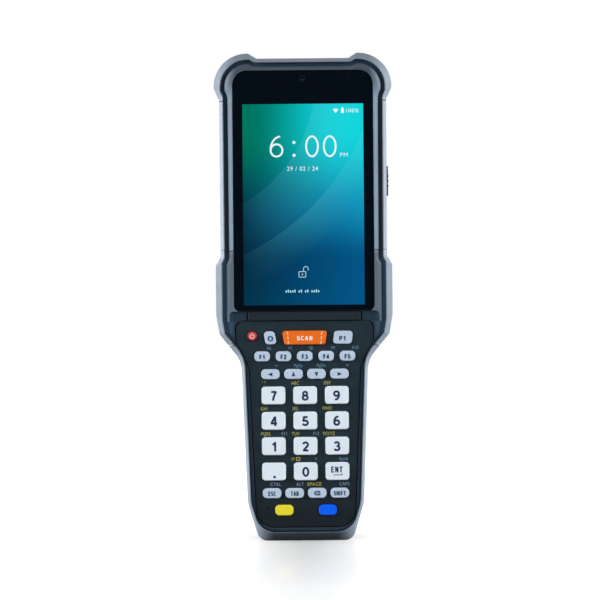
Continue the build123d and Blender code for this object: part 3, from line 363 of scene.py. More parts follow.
class Finish(Enum):
    """Finishes of the terminal's pieces."""

    # Guard zones: painted shade, darker in the middle of the foot and along the middle of the top, where less
    # light falls.
    GUARD = Moulded("guard_grey", (134, 147, 162), 0.42, grain_mm=0.30, grain_depth_mm=0.004, edge=0.16,
                    edge_mm=0.30, specular=0.3,
                    zones=(Zone(-9, 7.5, -9, 15, 0.20, 1.5, 6), Zone(216, 240, -9, 31, 0.76, 3, 5)))
    # Bezel zones: painted shade, darker along the middle of the top and on the lengths beside the shoulders.
    BEZEL = Moulded("bezel_grey", (138, 157, 177), 0.42, grain_mm=0.30, grain_depth_mm=0.004, edge=0.12,
                    specular=0.3,
                    zones=(Zone(213, 240, -9, 31, 0.24, 6, 6), Zone(103, 133.5, 20, 60, 0.46, 2, 2)))
    HOUSING = Moulded("housing_slate", (30, 51, 69), 0.48, grain_mm=0.40, specular=0.35,
                      zones=(Zone(98, 130, 33.6, 60, 2.1, 4, 1), Zone(216, 240, -9, 31, 1.4, 3, 5)))
    REAR = Moulded("rear_slate", (34, 47, 59), 0.5, grain_mm=0.40, grain_depth_mm=0.012, specular=0.35)
    BAR = Moulded("bar_slate", (28, 40, 50), 0.42, specular=0.35)
    # Plate zone: painted shade, darker towards the bottom of the plate.
    PANEL = Moulded("panel_slate", (26, 45, 55), 0.50, cloud=0.12, cloud_mm=6.0, grain_mm=0.45, specular=0.3,
                    zones=(Zone(-9, 10, -9, 60, 0.45, 30, 2),))
    DOOR = Moulded("door_slate", (42, 55, 68), 0.52, grain_mm=0.45, grain_depth_mm=0.015)
    LATCH = Moulded("latch_grey", (84, 96, 110), 0.45)
    WHITE_KEY = Moulded("key_white", (230, 242, 252), 0.38, cloud=0.015, grain_depth_mm=0.003, edge=0.5)
    GREY_KEY = Moulded("key_grey", (191, 210, 230), 0.38, cloud=0.02, grain_depth_mm=0.003, edge=0.4)
    ORANGE_KEY = Moulded("key_orange", (243, 113, 8), 0.36, cloud=0.02, grain_depth_mm=0.003, edge=0.25)
    RED_KEY = Moulded("key_red", (214, 48, 46), 0.36, cloud=0.03, grain_depth_mm=0.003, edge=0.25)
    YELLOW_KEY = Moulded("key_yellow", (238, 225, 44), 0.36, cloud=0.02, grain_depth_mm=0.003, edge=0.3)
    BLUE_KEY = Moulded("key_blue", (0, 98, 250), 0.36, cloud=0.02, grain_depth_mm=0.003, edge=0.15,
                       specular=0.2)
    RUBBER = Moulded("soft_rubber", (22, 26, 31), 0.62, grain_mm=0.5, grain_depth_mm=0.02, specular=0.3)
    BLACK = Moulded("black_plastic", (16, 18, 21))
    # Dark flat plates standing for holes: painted shade.
    PIT = Moulded("painted_hole_shade", (9, 13, 18), 0.7, edge=0.0, specular=0.1)
    BOARD = Moulded("circuit_board", (22, 84, 52), 0.35, cloud=0.2, cloud_mm=2.0, coat=0.5)
    LENS = Moulded("dark_lens", (8, 10, 16), 0.06, cloud=0.0, grain_depth_mm=0.0, edge=0.0, coat=1.0)
    SCAN_LENS = Moulded("scan_lens", (58, 8, 14), 0.06, cloud=0.0, grain_depth_mm=0.0, edge=0.0, coat=1.0)
    FLASH = Moulded("flash_diffuser", (236, 226, 178), 0.3, cloud_mm=0.8, grain_mm=0.2, edge=0.0)
    STEEL = Metal("blackened_steel", (88, 90, 94), 0.34)
    SHEET = Metal("tinned_sheet", (190, 192, 194), 0.28)
    GOLD = Metal("gold_plate", (222, 178, 92), 0.24)
    NAVY_INK = Printed("ink_navy", (28, 48, 88))
    BLUE_INK = Printed("ink_blue", (30, 58, 132))
    WHITE_INK = Printed("ink_white", (246, 240, 232))
    PALE_INK = Printed("ink_pale", (255, 206, 150))
    SKY_INK = Printed("ink_sky", (104, 146, 178))
    YELLOW_INK = Printed("ink_yellow", (188, 184, 82))
    GREY_INK = Printed("ink_grey", (128, 154, 180))
    RING = Printed("camera_ring", (26, 33, 42), 0.3)
    TINT = Printed("border_tint", (13, 19, 28), 0.2)
    LENS_BORDER = Printed("lens_border", (11, 13, 17), 0.15)
    LENS_RIM = Printed("lens_rim", (70, 76, 84), 0.3)
    LIT = Glow("lit_white", (236, 250, 255))
    LIT_SOFT = Glow("lit_soft", (178, 224, 236))

    @property
    def material(self) -> bpy.types.Material:
        """The finish's material, made the first time it is asked for."""
        return bpy.data.materials.get(f"finish_{self.value.name}") or self.value.build()


def dress(node: str, material: bpy.types.Material) -> None:
    """Give a CAD node a material in place of its plain one.

    Args:
        node: Name of the node.
        material: What it gets.
    """
    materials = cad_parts[node].data.materials
    materials.clear()
    materials.append(material)


def oval(x: float, z: float, wide: float, high: float, start: float = 0.0, end: float = 360.0,
         count: int = 28) -> Loop:
    """Line on an ellipse from one angle to another.

    Formula: x plus wide times the cosine, and z plus high times the sine, of even steps of the angle.

    Args:
        x: Centre along X.
        z: Centre along Z.
        wide: Half width.
        high: Half height.
        start: First angle in degrees.
        end: Last angle in degrees.
        count: How many points.

    Returns:
        Points of the line; over a whole turn the last is left out.
    """
    whole = abs(end - start) >= 360
    t = np.radians(np.linspace(start, end, count, endpoint=not whole))
    return np.column_stack((x + wide * np.cos(t), z + high * np.sin(t)))


def circle(radius: float, count: int = 48) -> Loop:
    """Closed loop on a circle."""
    return oval(0.0, 0.0, radius, radius, count=count)


def ring(x: float, z: float, wide: float, high: float, width: float) -> list[Loop]:
    """Outer and inner loop of an oval stroke that is centred on its line."""
    return [oval(x, z, wide + side, high + side) for side in (width / 2, -width / 2)]


def rounded(width: float, height: float, radius: float) -> Loop:
    """Closed loop of a rectangle with round corners: a quarter circle about each inner corner.

    Args:
        width: Size along X.
        height: Size along Z.
        radius: Radius of the corners.

    Returns:
        Points anticlockwise.
    """
    angle = np.linspace(0, np.pi / 2, 8) + np.arange(4)[:, None] * np.pi / 2
    side = np.array([[1, 1], [-1, 1], [-1, -1], [1, -1]])[:, None, :]
    centre = side * (np.array([width, height]) / 2 - radius)
    return (centre + radius * np.stack((np.cos(angle), np.sin(angle)), axis=-1)).reshape(-1, 2)


def path(*points: tuple[float, float]) -> Loop:
    """Line through a few points."""
    return np.array(points, float)


def band(centre: Loop, width: float) -> Loop:
    """Closed loop round an open line: each point moved half the width along its normal, out and back.

    Args:
        centre: The line.
        width: Width of the stroke.

    Returns:
        Points of the outline.
    """
    along = np.gradient(centre, axis=0)
    along /= np.linalg.norm(along, axis=1, keepdims=True)
    across = np.column_stack((-along[:, 1], along[:, 0])) * width / 2
    return np.vstack((centre + across, (centre - across)[::-1]))


class Side(Enum):
    """Side of the terminal that flat shapes lie on: where their right, their front and their top point."""

    FRONT = ((1, 0, 0), (0, -1, 0), (0, 0, 1))
    BACK = ((-1, 0, 0), (0, 1, 0), (0, 0, 1))
    RIGHT = ((0, 1, 0), (1, 0, 0), (0, 0, 1))
    TOP = ((1, 0, 0), (0, 0, 1), (0, 1, 0))


class Stock:
    """Points and faces gathered from several shapes for one piece."""

    back = 0.3                    # share of its thickness by which a flat shape reaches into its face

    def __init__(self, side: Side = Side.FRONT) -> None:
        """Start with no shape.

        Args:
            side: Side of the terminal that shapes are laid on.
        """
        self.side = np.array(side.value, float)
        self.points: list[np.ndarray] = []
        self.faces: list[tuple[int, ...]] = []
        self.count = 0

    def take(self, points: np.ndarray, faces: list[tuple[int, ...]]) -> "Stock":
        """Add a shape.

        Args:
            points: Array of (n, 3) in millimetres.
            faces: Numbers of each face's points.

        Returns:
            The stock itself, for the next shape.
        """
        self.faces += [tuple(i + self.count for i in face) for face in faces]
        self.points.append(points)
        self.count += len(points)
        return self

    def grid(self, points: np.ndarray, wrap: bool = False) -> "Stock":
        """Add a surface of two parameters.

        Formula: the quad at row i and column j joins points i and i + 1 of columns j and j + 1.

        Args:
            points: Array of (rows, columns, 3) in millimetres.
            wrap: Whether the last column joins the first.

        Returns:
            The stock itself.
        """
        rows, columns = points.shape[:2]
        i, j = np.meshgrid(np.arange(rows - 1), np.arange(columns - (not wrap)), indexing="ij")
        j1 = (j + 1) % columns
        below, above = i * columns, (i + 1) * columns
        quads = np.stack((below + j, below + j1, above + j1, above + j), axis=-1)
        return self.take(points.reshape(-1, 3), [tuple(q) for q in quads.reshape(-1, 4).tolist()])

    def dome(self, radius: float, rise: float, place: Place, rings: int, spokes: int, fall: float) -> "Stock":
        """Add a lens that stands out of the side.

        Formula: at a share r of the radius it stands out by the rise times the root of one less fall
        times r squared.

        Args:
            radius: Radius of the lens.
            rise: How far its middle stands out.
            place: Centre of its face.
            rings: Points from the middle to the edge.
            spokes: Points round the edge.
            fall: How far it comes down at the edge, 1 being all the way.

        Returns:
            The stock itself.
        """
        turn = np.linspace(0, 2 * np.pi, spokes + 1)[:-1]
        r, t = np.meshgrid(np.linspace(0, 1, rings), turn, indexing="ij")
        local = (radius * r * np.cos(t), rise * np.sqrt(1 - fall * r**2), radius * r * np.sin(t))
        return self.grid(np.stack(local, axis=-1) @ self.side + place, wrap=True)

    def flat(self, loops: list[Loop], x: float, y: float, z: float, thickness: float = 0.03) -> "Stock":
        """Add a thin plate on a face, filled inside its loops and open inside the inner ones.

        Args:
            loops: Closed outlines about the centre, to the right and up as seen on the stock's side.
            x: Centre along X.
            y: Centre along Y.
            z: Centre along Z.
            thickness: How far the plate stands out of that face.

        Returns:
            The stock itself.
        """
        curve = bpy.data.curves.new("outline", "CURVE")
        curve.dimensions = "2D"
        curve.fill_mode = "BOTH"
        curve.extrude = thickness / 2
        for loop in loops:
            spline = curve.splines.new("POLY")
            spline.points.add(len(loop) - 1)
            rows = np.column_stack((loop, np.zeros(len(loop)), np.ones(len(loop))))
            spline.points.foreach_set("co", rows.ravel())
            spline.use_cyclic_u = True
        return self.solid(curve, x, y, z, thickness)

    def solid(self, curve: bpy.types.Curve, x: float, y: float, z: float, thickness: float,
              scale: float = 1.0, narrow: float = 1.0) -> "Stock":
        """Add the mesh of a flat curve, turned so that its front looks out of the stock's side.

        Formula: a curve point (a, b, c) goes to the centre plus a times the side's right, b times its top
        and c times its front, so that its back stays in the face.

        Args:
            curve: Flat curve or text, which is removed.
            x: Centre along X.
            y: Centre along Y.
            z: Centre along Z.
            thickness: How far it stands out.
            scale: Size of the curve's unit in millimetres.
            narrow: Share of the width that is kept.

        Returns:
            The stock itself.
        """
        points, faces = flat_mesh(curve)
        a, b, c = (points * scale).T
        local = np.column_stack((a * narrow, thickness * np.where(c > 0, 1.0, -self.back), b))
        return self.take(local @ self.side + (x, y, z), faces)

    def shape(self, name: str, material: bpy.types.Material, smooth: bool = False) -> bpy.types.Object:
        """Make the scene object.

        Args:
            name: Name of the object.
            material: Its material.
            smooth: Whether faces shade smoothly.

        Returns:
            The new object.
        """
        mesh = bpy.data.meshes.new(name)
        mesh.from_pydata((np.vstack(self.points) * MM).tolist(), [], self.faces)
        mesh.materials.append(material)
        mesh.polygons.foreach_set("use_smooth", [smooth] * len(mesh.polygons))
        mesh.validate()
        shape = bpy.data.objects.new(name, mesh)
        bpy.context.scene.collection.objects.link(shape)
        log.info("%s: %d faces", name, len(mesh.polygons))
        return shape

    def piece(self, name: str, finish: Finish, body: str = "terminal", slot: str = "",
              smooth: bool = False) -> None:
        """Make a piece that rides on a body.

        Args:
            name: Name of the piece.
            finish: Its finish.
            body: CAD body that carries it.
            slot: Material slot of the record, or nothing; not used.
            smooth: Whether faces shade smoothly.
        """
        piece = self.shape(name, finish.material, smooth)
        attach(piece, body)


def flat_mesh(curve: bpy.types.Curve) -> tuple[np.ndarray, list[tuple[int, ...]]]:
    """Points and faces of a flat curve or text, which is removed.

    Args:
        curve: The curve.

    Returns:
        Array of (n, 3) in the curve's unit, and the numbers of each face's points.
    """
    holder = bpy.data.objects.new("outline", curve)
    mesh = bpy.data.meshes.new_from_object(holder)
    points = np.zeros(len(mesh.vertices) * 3)
    mesh.vertices.foreach_get("co", points)
    faces = [tuple(face.vertices) for face in mesh.polygons]
    bpy.data.objects.remove(holder)
    bpy.data.meshes.remove(mesh)
    bpy.data.curves.remove(curve)
    return points.reshape(-1, 3), faces


class Lettering:
    """Words and figures set in the plain built-in face, sized by the height of their capitals."""

    def __init__(self) -> None:
        """Measure the capitals of a text one unit high."""
        self.capital = flat_mesh(self.curve("H", 0.0, 1.0))[0][:, 1].max()

    @staticmethod
    def curve(word: str, weight: float, spacing: float) -> bpy.types.Curve:
        """Text curve, centred on its own middle.

        Args:
            word: What it says.
            weight: How far the strokes are thickened, in shares of the text's size.
            spacing: Distance between characters, 1 being normal.

        Returns:
            The curve.
        """
        text = bpy.data.curves.new("word", "FONT")
        text.body = word
        text.align_x = "CENTER"
        text.offset = weight
        text.space_character = spacing
        text.extrude = 0.01
        text.resolution_u = 5
        return text

    def put(self, stock: Stock, word: str, x: float, y: float, z: float, height: float, weight: float,
            spacing: float, thickness: float, narrow: float) -> None:
        """Add a word to a stock, with the middle of its capitals at x and z.

        Args:
            stock: Where it goes.
            word: What it says.
            x: Middle along X.
            y: Depth of the face that carries it.
            z: Middle of the capitals along Z.
            height: Height of the capitals.
            weight: How far the strokes are thickened.
            spacing: Distance between characters, 1 being normal.
            thickness: How far it stands out.
            narrow: Width of the characters as a share of their normal width.
        """
        text = self.curve(word, weight, spacing)
        stock.solid(text, x, y, z - height / 2, thickness, height / self.capital, narrow)


@dataclass(frozen=True)
class Pen:
    """How a word is drawn; the last three are shares of its height."""

    height: float
    weight: float                 # width of a stroke
    wide: float                   # stretch of the glyphs along X
    gap: float = 0.3              # room between two glyphs


@dataclass(frozen=True)
class Glyph:
    """Centre lines and rings of one letter or figure whose height is 1, and the room it takes along X."""

    room: float
    lines: tuple[Loop, ...] = ()
    rings: tuple[tuple[float, ...], ...] = ()   # centre and half sizes


class Strokes:
    """Plain bold figures and capitals for the keys, built from straight and oval strokes."""

    def __init__(self) -> None:
        """Draw the centre lines of every figure and capital that the keys carry."""
        low, mid, high = 0.085, 0.51, 0.915
        stem, post = path((0.06, 0.0), (0.06, 1.0)), path((0.44, 0.0), (0.44, 1.0))
        hook = oval(0.30, 0.36, 0.295, 0.555, 180, 72)
        turned = np.array([0.48, 1.0]) - hook
        top_bar, low_bar = path((0.0, high), (0.5, high)), path((0.0, low), (0.5, low))
        top_arm = path((0.0, high), (0.46, high))
        self.glyphs: dict[str, Glyph] = {
            "0": Glyph(0.48, rings=((0.24, 0.5, 0.235, 0.415),)),
            "1": Glyph(0.42, (path((0.30, 0.0), (0.30, 1.0)), oval(0.02, 0.98, 0.28, 0.26, -85, -12))),
            "2": Glyph(0.48, (np.vstack((oval(0.24, 0.68, 0.225, 0.235, 168, -32), [[0.03, 0.07]])),
                              low_bar)),
            "3": Glyph(0.48, (oval(0.225, 0.705, 0.205, 0.21, 158, -95),
                              oval(0.23, 0.30, 0.24, 0.215, 95, -160))),
            "4": Glyph(0.50, (path((0.36, 0.97), (-0.01, 0.27)), path((-0.04, 0.28), (0.55, 0.28)),
                              path((0.37, 0.0), (0.37, 1.0)))),
            "5": Glyph(0.48, (path((0.08, high), (0.46, high)), path((0.12, 0.98), (0.05, 0.44)),
                              oval(0.225, 0.315, 0.245, 0.23, 132, -160))),
            "6": Glyph(0.48, (hook,), ((0.24, 0.315, 0.23, 0.23),)),
            "7": Glyph(0.48, (top_bar, path((0.47, 0.93), (0.33, 0.66), (0.22, 0.34), (0.17, 0.0)))),
            "8": Glyph(0.48, rings=((0.24, 0.71, 0.185, 0.20), (0.24, 0.30, 0.23, 0.215))),
            "9": Glyph(0.48, (turned,), ((0.24, 0.685, 0.23, 0.23),)),
            "A": Glyph(0.50, (path((0.0, 0.0), (0.26, 1.0)), path((0.24, 1.0), (0.5, 0.0)),
                              path((0.08, 0.30), (0.42, 0.30)))),
            "B": Glyph(0.46, (stem, path((0.06, high), (0.24, high)), path((0.06, mid), (0.26, mid)),
                              path((0.06, low), (0.26, low)), oval(0.23, 0.71, 0.19, 0.205, 95, -95),
                              oval(0.25, 0.30, 0.20, 0.215, 95, -95))),
            "C": Glyph(0.46, (oval(0.26, 0.5, 0.25, 0.415, 48, 312),)),
            "E": Glyph(0.46, (stem, top_arm, path((0.06, mid), (0.42, mid)), path((0.0, low), (0.48, low)))),
            "F": Glyph(0.44, (stem, top_arm, path((0.06, 0.48), (0.41, 0.48)))),
            "H": Glyph(0.48, (stem, post, path((0.06, mid), (0.44, mid)))),
            "I": Glyph(0.12, (stem,)),
            "N": Glyph(0.48, (stem, post, path((0.05, 1.0), (0.45, 0.0)))),
            "P": Glyph(0.46, (stem, path((0.06, high), (0.26, high)), path((0.06, 0.45), (0.26, 0.45)),
                              oval(0.25, 0.683, 0.20, 0.232, 95, -95))),
            "S": Glyph(0.46, (np.vstack((oval(0.235, 0.71, 0.20, 0.205, 22, 235),
                                         oval(0.24, 0.30, 0.215, 0.215, 55, -158))),)),
            "T": Glyph(0.50, (top_bar, path((0.25, 0.0), (0.25, 1.0)))),
        }

    def put(self, stock: Stock, word: str, x: float, y: float, z: float, pen: Pen) -> None:
        """Add a word to a stock, with its middle at x and z.

        Formula: a point (a, b) of a glyph goes to (start + a * wide, b - 1/2) times the height, and a
        line becomes a band as wide as the weight; each next stroke stands out a little more, so that no
        two faces lie in one plane.

        Args:
            stock: Where it goes.
            word: Figures and capitals.
            x: Middle along X.
            y: Depth of the face that carries it.
            z: Middle along Z.
            pen: How it is drawn.
        """
        glyphs = [self.glyphs[letter] for letter in word]
        start = -(sum(glyph.room for glyph in glyphs) * pen.wide + pen.gap * (len(glyphs) - 1)) / 2
        rise, step = 0.02, 0.002
        for glyph in glyphs:
            shapes = [[band(line * (pen.wide, 1.0) + (start, -0.5), pen.weight)] for line in glyph.lines]
            shapes += [ring(a * pen.wide + start, b - 0.5, pen.wide * c, d, pen.weight)
                       for a, b, c, d in glyph.rings]
            for shape in shapes:
                stock.flat([loop * pen.height for loop in shape], x, y, z, rise)
                rise += step
            start += glyph.room * pen.wide + pen.gap


@dataclass
class Shell:
    """Housings, guards, seams and everything fixed that only needs a finish."""

    finishes: dict[Finish, str] = field(default_factory=lambda: {
        Finish.GUARD: "top_bumper side_rails shoulder_guards grip_guard",
        Finish.BEZEL: "glass_bezel",
        Finish.HOUSING: "front_housing",
        Finish.REAR: "rear_housing",
        Finish.BAR: "bridge_bar",
        Finish.PANEL: "keypad_panel",
        Finish.RUBBER: "right_side_key housing_seal",
        Finish.BLACK: "display_module front_camera rear_camera scan_engine loudspeaker battery_pack "
                      "dock_connector",
        Finish.LENS: "camera_window",
        Finish.SCAN_LENS: "scan_window",
        Finish.BOARD: "main_board keypad_board",
        Finish.SHEET: "dome_sheet shield_cans",
        Finish.STEEL: "housing_screws",
        Finish.DOOR: "battery_door",
        Finish.LATCH: "battery_latch",
        Finish.GOLD: "battery_contacts",
    })

    def build(self) -> None:
        """Dress each node."""
        for finish, nodes in self.finishes.items():
            for node in nodes.split():
                dress(node, finish.material)


@dataclass
class Keypad:
    """Key finishes, the legends printed on the keys, and those printed on the plate."""

    lettering: Lettering
    strokes: Strokes
    numeric_x: float = 14.75      # between two columns of figures
    numeric_z: tuple[float, ...] = (67.8, 56.0, 44.2, 32.4)
    numeric_y: float = -16.7      # face of the large keys
    small_y: float = -16.4
    scan_y: float = -16.6
    panel_y: float = -15.3
    arrow_z: float = 77.7
    arrow_pitch: float = 10.7
    function_z: float = 86.0
    function_pitch: float = 9.93
    command_z: float = 22.3
    command_pitch: float = 10.5
    upper_z: float = 94.6
    home_x: float = -15.9
    program_x: float = 17.6
    power: tuple[float, float] = (-24.4, 95.5)
    microphone: tuple[float, float] = (-17.4, 15.2)
    figure_pen: Pen = Pen(4.45, 0.22, 1.1)
    enter_pen: Pen = Pen(2.7, 0.21, 0.95, 0.26)
    function_pen: Pen = Pen(2.0, 0.28, 0.95, 0.32)
    command_pen: Pen = Pen(2.0, 0.23, 0.8, 0.26)
    program_pen: Pen = Pen(2.1, 0.26, 1.05, 0.36)
    scan_pen: Pen = Pen(2.0, 0.25, 1.2, 0.4)
    underline: float = 0.34       # width of the strokes under the enter key's word
    mark_height: float = 1.5      # of the plate's words
    thin: float = 0.26            # width of the plate's strokes

    def build(self) -> None:
        """Dress the caps, then print them and the plate."""
        coloured = {"power": Finish.RED_KEY, "scan": Finish.ORANGE_KEY, "yellow": Finish.YELLOW_KEY,
                    "blue": Finish.BLUE_KEY}
        for node in (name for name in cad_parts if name.startswith("key_")):
            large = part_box(node)[0].y < (self.small_y - 0.2) * MM
            finish = coloured.get(node[len("key_"):], Finish.WHITE_KEY if large else Finish.GREY_KEY)
            dress(node, finish.material)
        self.figures()
        self.words()
        self.signs()
        self.plate_marks()
        # The microphone's hole is a dark flat disc: painted shade.
        Stock().flat([circle(0.45, 24)], self.microphone[0], self.panel_y, self.microphone[1], 0.01).piece(
            "microphone_hole_shade", Finish.PIT)

    def legend(self, key: str, word: str, x: float, y: float, z: float, pen: Pen,
               finish: Finish = Finish.NAVY_INK) -> None:
        """Print one word on a key's cap, as a piece that moves with the key.

        Args:
            key: Name of the key.
            word: Figures and capitals.
            x: Middle along X.
            y: Face of the cap.
            z: Middle along Z.
            pen: How it is drawn.
            finish: Its ink.
        """
        stock = Stock()
        self.strokes.put(stock, word, x, y, z, pen)
        stock.piece(f"legend_{key}", finish, f"key_{key}")

    def figures(self) -> None:
        """Large navy figures on the numeric keys, and the decimal point low on its key."""
        rows = ((-1, "789"), (-1, "456"), (-1, "123"), (0, "0"))
        pitch = self.numeric_x - 0.15
        for z, (first, words) in zip(self.numeric_z, rows):
            for column, word in enumerate(words, first):
                self.legend(word, word, column * pitch, self.numeric_y, z - 0.2, self.figure_pen)
        Stock().flat([circle(0.62)], 0.2 - self.numeric_x, self.numeric_y, self.numeric_z[3] - 2.5).piece(
            "legend_point", Finish.NAVY_INK, "key_point")

    def words(self) -> None:
        """Short words on the enter, function, command, program and scan keys."""
        x, y, z = self.numeric_x, self.numeric_y, self.numeric_z[3]
        enter = Stock()
        self.strokes.put(enter, "ENT", x - 0.3, y, z + 0.75, self.enter_pen)
        enter.flat([band(path((-2.1, 0.0), (2.1, 0.0)), self.underline)], x + 0.2, y, z - 1.75)
        enter.flat([band(path((1.95, -0.1), (1.95, 0.75)), self.underline)], x + 0.2, y, z - 1.75, 0.027)
        enter.piece("legend_enter", Finish.NAVY_INK, "key_enter")
        z = self.function_z - 0.3
        words = [(f"f{number}", f"F{number}", (number - 3) * self.function_pitch, z, self.function_pen)
                 for number in range(1, 6)]
        commands = (("escape", "ESC", -1.5), ("tab", "TAB", -0.5), ("shift", "SHIFT", 1.5))
        words += [(key, word, share * self.command_pitch, self.command_z - 0.2, self.command_pen)
                  for key, word, share in commands]
        words += [("p1", "P1", self.program_x, self.upper_z - 0.45, self.program_pen)]
        for key, word, x, z, pen in words:
            self.legend(key, word, x, self.small_y, z, pen)
        self.legend("scan", "SCAN", 0.0, self.scan_y, self.upper_z - 0.25, self.scan_pen, Finish.WHITE_INK)
        dashes = Stock()
        for side in (-1, 1):
            for rise in (-2.2, -0.1, 2.0):
                dash = band(path((0.12 * side, 0.68), (-0.12 * side, -0.68)), 0.62)
                dashes.flat([dash], side * (7.75 + 0.09 * rise), self.scan_y, self.upper_z + rise)
        dashes.piece("scan_dashes", Finish.PALE_INK, "key_scan")

    def signs(self) -> None:
        """Arrows, backspace, home ring and power sign."""
        y = self.small_y
        arrow = path((1.25, 0.0), (-1.05, 0.92), (-0.8, 0.0), (-1.05, -0.92))
        ways = (("left", -1, 0), ("up", 0, 1), ("down", 0, -1), ("right", 1, 0))
        for index, (key, c, s) in enumerate(ways):
            turned = arrow @ np.array([[c, s], [-s, c]])
            Stock().flat([turned], (index - 1.5) * self.arrow_pitch, y, self.arrow_z - 0.1).piece(
                f"legend_{key}", Finish.NAVY_INK, f"key_{key}")
        tag = path((-1.65, 0.0), (-0.7, 1.05), (1.4, 1.05), (1.4, -1.05), (-0.7, -1.05))
        inner = path((-0.85, 0.0), (-0.4, 0.55), (0.95, 0.55), (0.95, -0.55), (-0.4, -0.55))
        place = (0.5 * self.command_pitch, y, self.command_z - 0.1)
        stock = Stock().flat([tag, inner], *place)
        for side in (-1, 1):
            cross = band(path((-0.02, -0.3 * side), (0.58, 0.3 * side)), 0.3)
            stock.flat([cross], *place, thickness=0.025 + 0.002 * side)
        stock.piece("legend_backspace", Finish.NAVY_INK, "key_backspace")
        Stock().flat([circle(1.3), rounded(1.0, 1.55, 0.5)], self.home_x, y, self.upper_z - 0.4).piece(
            "legend_home", Finish.BLUE_INK, "key_home")
        x, z = self.power
        turn = band(oval(0.0, 0.0, 1.0, 1.0, 130, 410, 24), 0.36)
        Stock().flat([turn], x, y, z - 0.1).flat([rounded(0.36, 1.25, 0.12)], x, y, z + 0.75).piece(
            "legend_power", Finish.WHITE_INK, "key_power")

    def plate_marks(self) -> None:
        """Second functions printed on the plate above the keys, in sky, yellow and grey."""
        sky, yellow, grey = Stock(), Stock(), Stock()
        y, thin = self.panel_y, self.thin
        numeric = [z + 5.7 for z in self.numeric_z]
        arrow, command = self.arrow_z + 3.9, self.command_z + 4.1

        def mark(stock: Stock, word: str, x: float, z: float, height: float = self.mark_height,
                 wide: float = 0.8) -> None:
            """Print a short word on the plate, wide being its width as a share of the normal one."""
            self.lettering.put(stock, word, x, y, z, height, 0.006, 1.12, 0.02, wide)

        for index, off in enumerate((3.3, 3.3, 2.8, 3.3, 3.7)):
            mark(sky, f"F{index + 6}", (index - 2) * self.function_pitch + off, self.function_z + 3.7)
        for index, word in enumerate(("PgUp", "PgDn")):
            mark(sky, word, (index - 0.5) * self.arrow_pitch + 2.3, arrow + 0.05)
        sky.flat([rounded(1.3, thin, 0.1)], -1.5 * self.arrow_pitch + 2.7, y, arrow)
        for wide, high in ((1.1, thin), (thin, 1.1)):
            sky.flat([rounded(wide, high, 0.1)], 1.5 * self.arrow_pitch + 3.7, y, arrow, 0.02 + wide / 100)
        letters = (("' \"", "ABC", "DEF"), ("GHI", "JKL", "MNO"), ("PQRS", "TUV", "WXYZ"))
        for z, words in zip(numeric, letters):
            for column, (word, off) in enumerate(zip(words, (-21.0, -21.2, -21.1))):
                mark(yellow, word, column * self.numeric_x + off + 0.62 * len(word), z)
        for column, word in enumerate(("F11", "F12"), -1):
            mark(grey, word, column * self.numeric_x + 5.0, numeric[2])
        yellow.flat([rounded(1.9, 1.7, 0.4), rounded(1.2, 1.0, 0.2)], -3.5, y, numeric[3] + 0.05)
        for x in (-6.4, -5.5):
            yellow.flat([rounded(thin, 1.3, 0.1)], x, y, numeric[3] + 0.05)
        mark(grey, ">", 4.8, numeric[3], 1.4)
        mark(sky, "Symb", self.numeric_x + 2.9, numeric[3])
        for word, x in (("CTRL", -14.1), ("ALT", -2.7), ("CAPS", 17.9)):
            mark(grey, word, x, command, wide=0.87)
        mark(yellow, "SPACE", 3.9, command, wide=1.0)
        sky.piece("plate_marks_sky", Finish.SKY_INK)
        yellow.piece("plate_marks_yellow", Finish.YELLOW_INK)
        grey.piece("plate_marks_grey", Finish.GREY_INK)


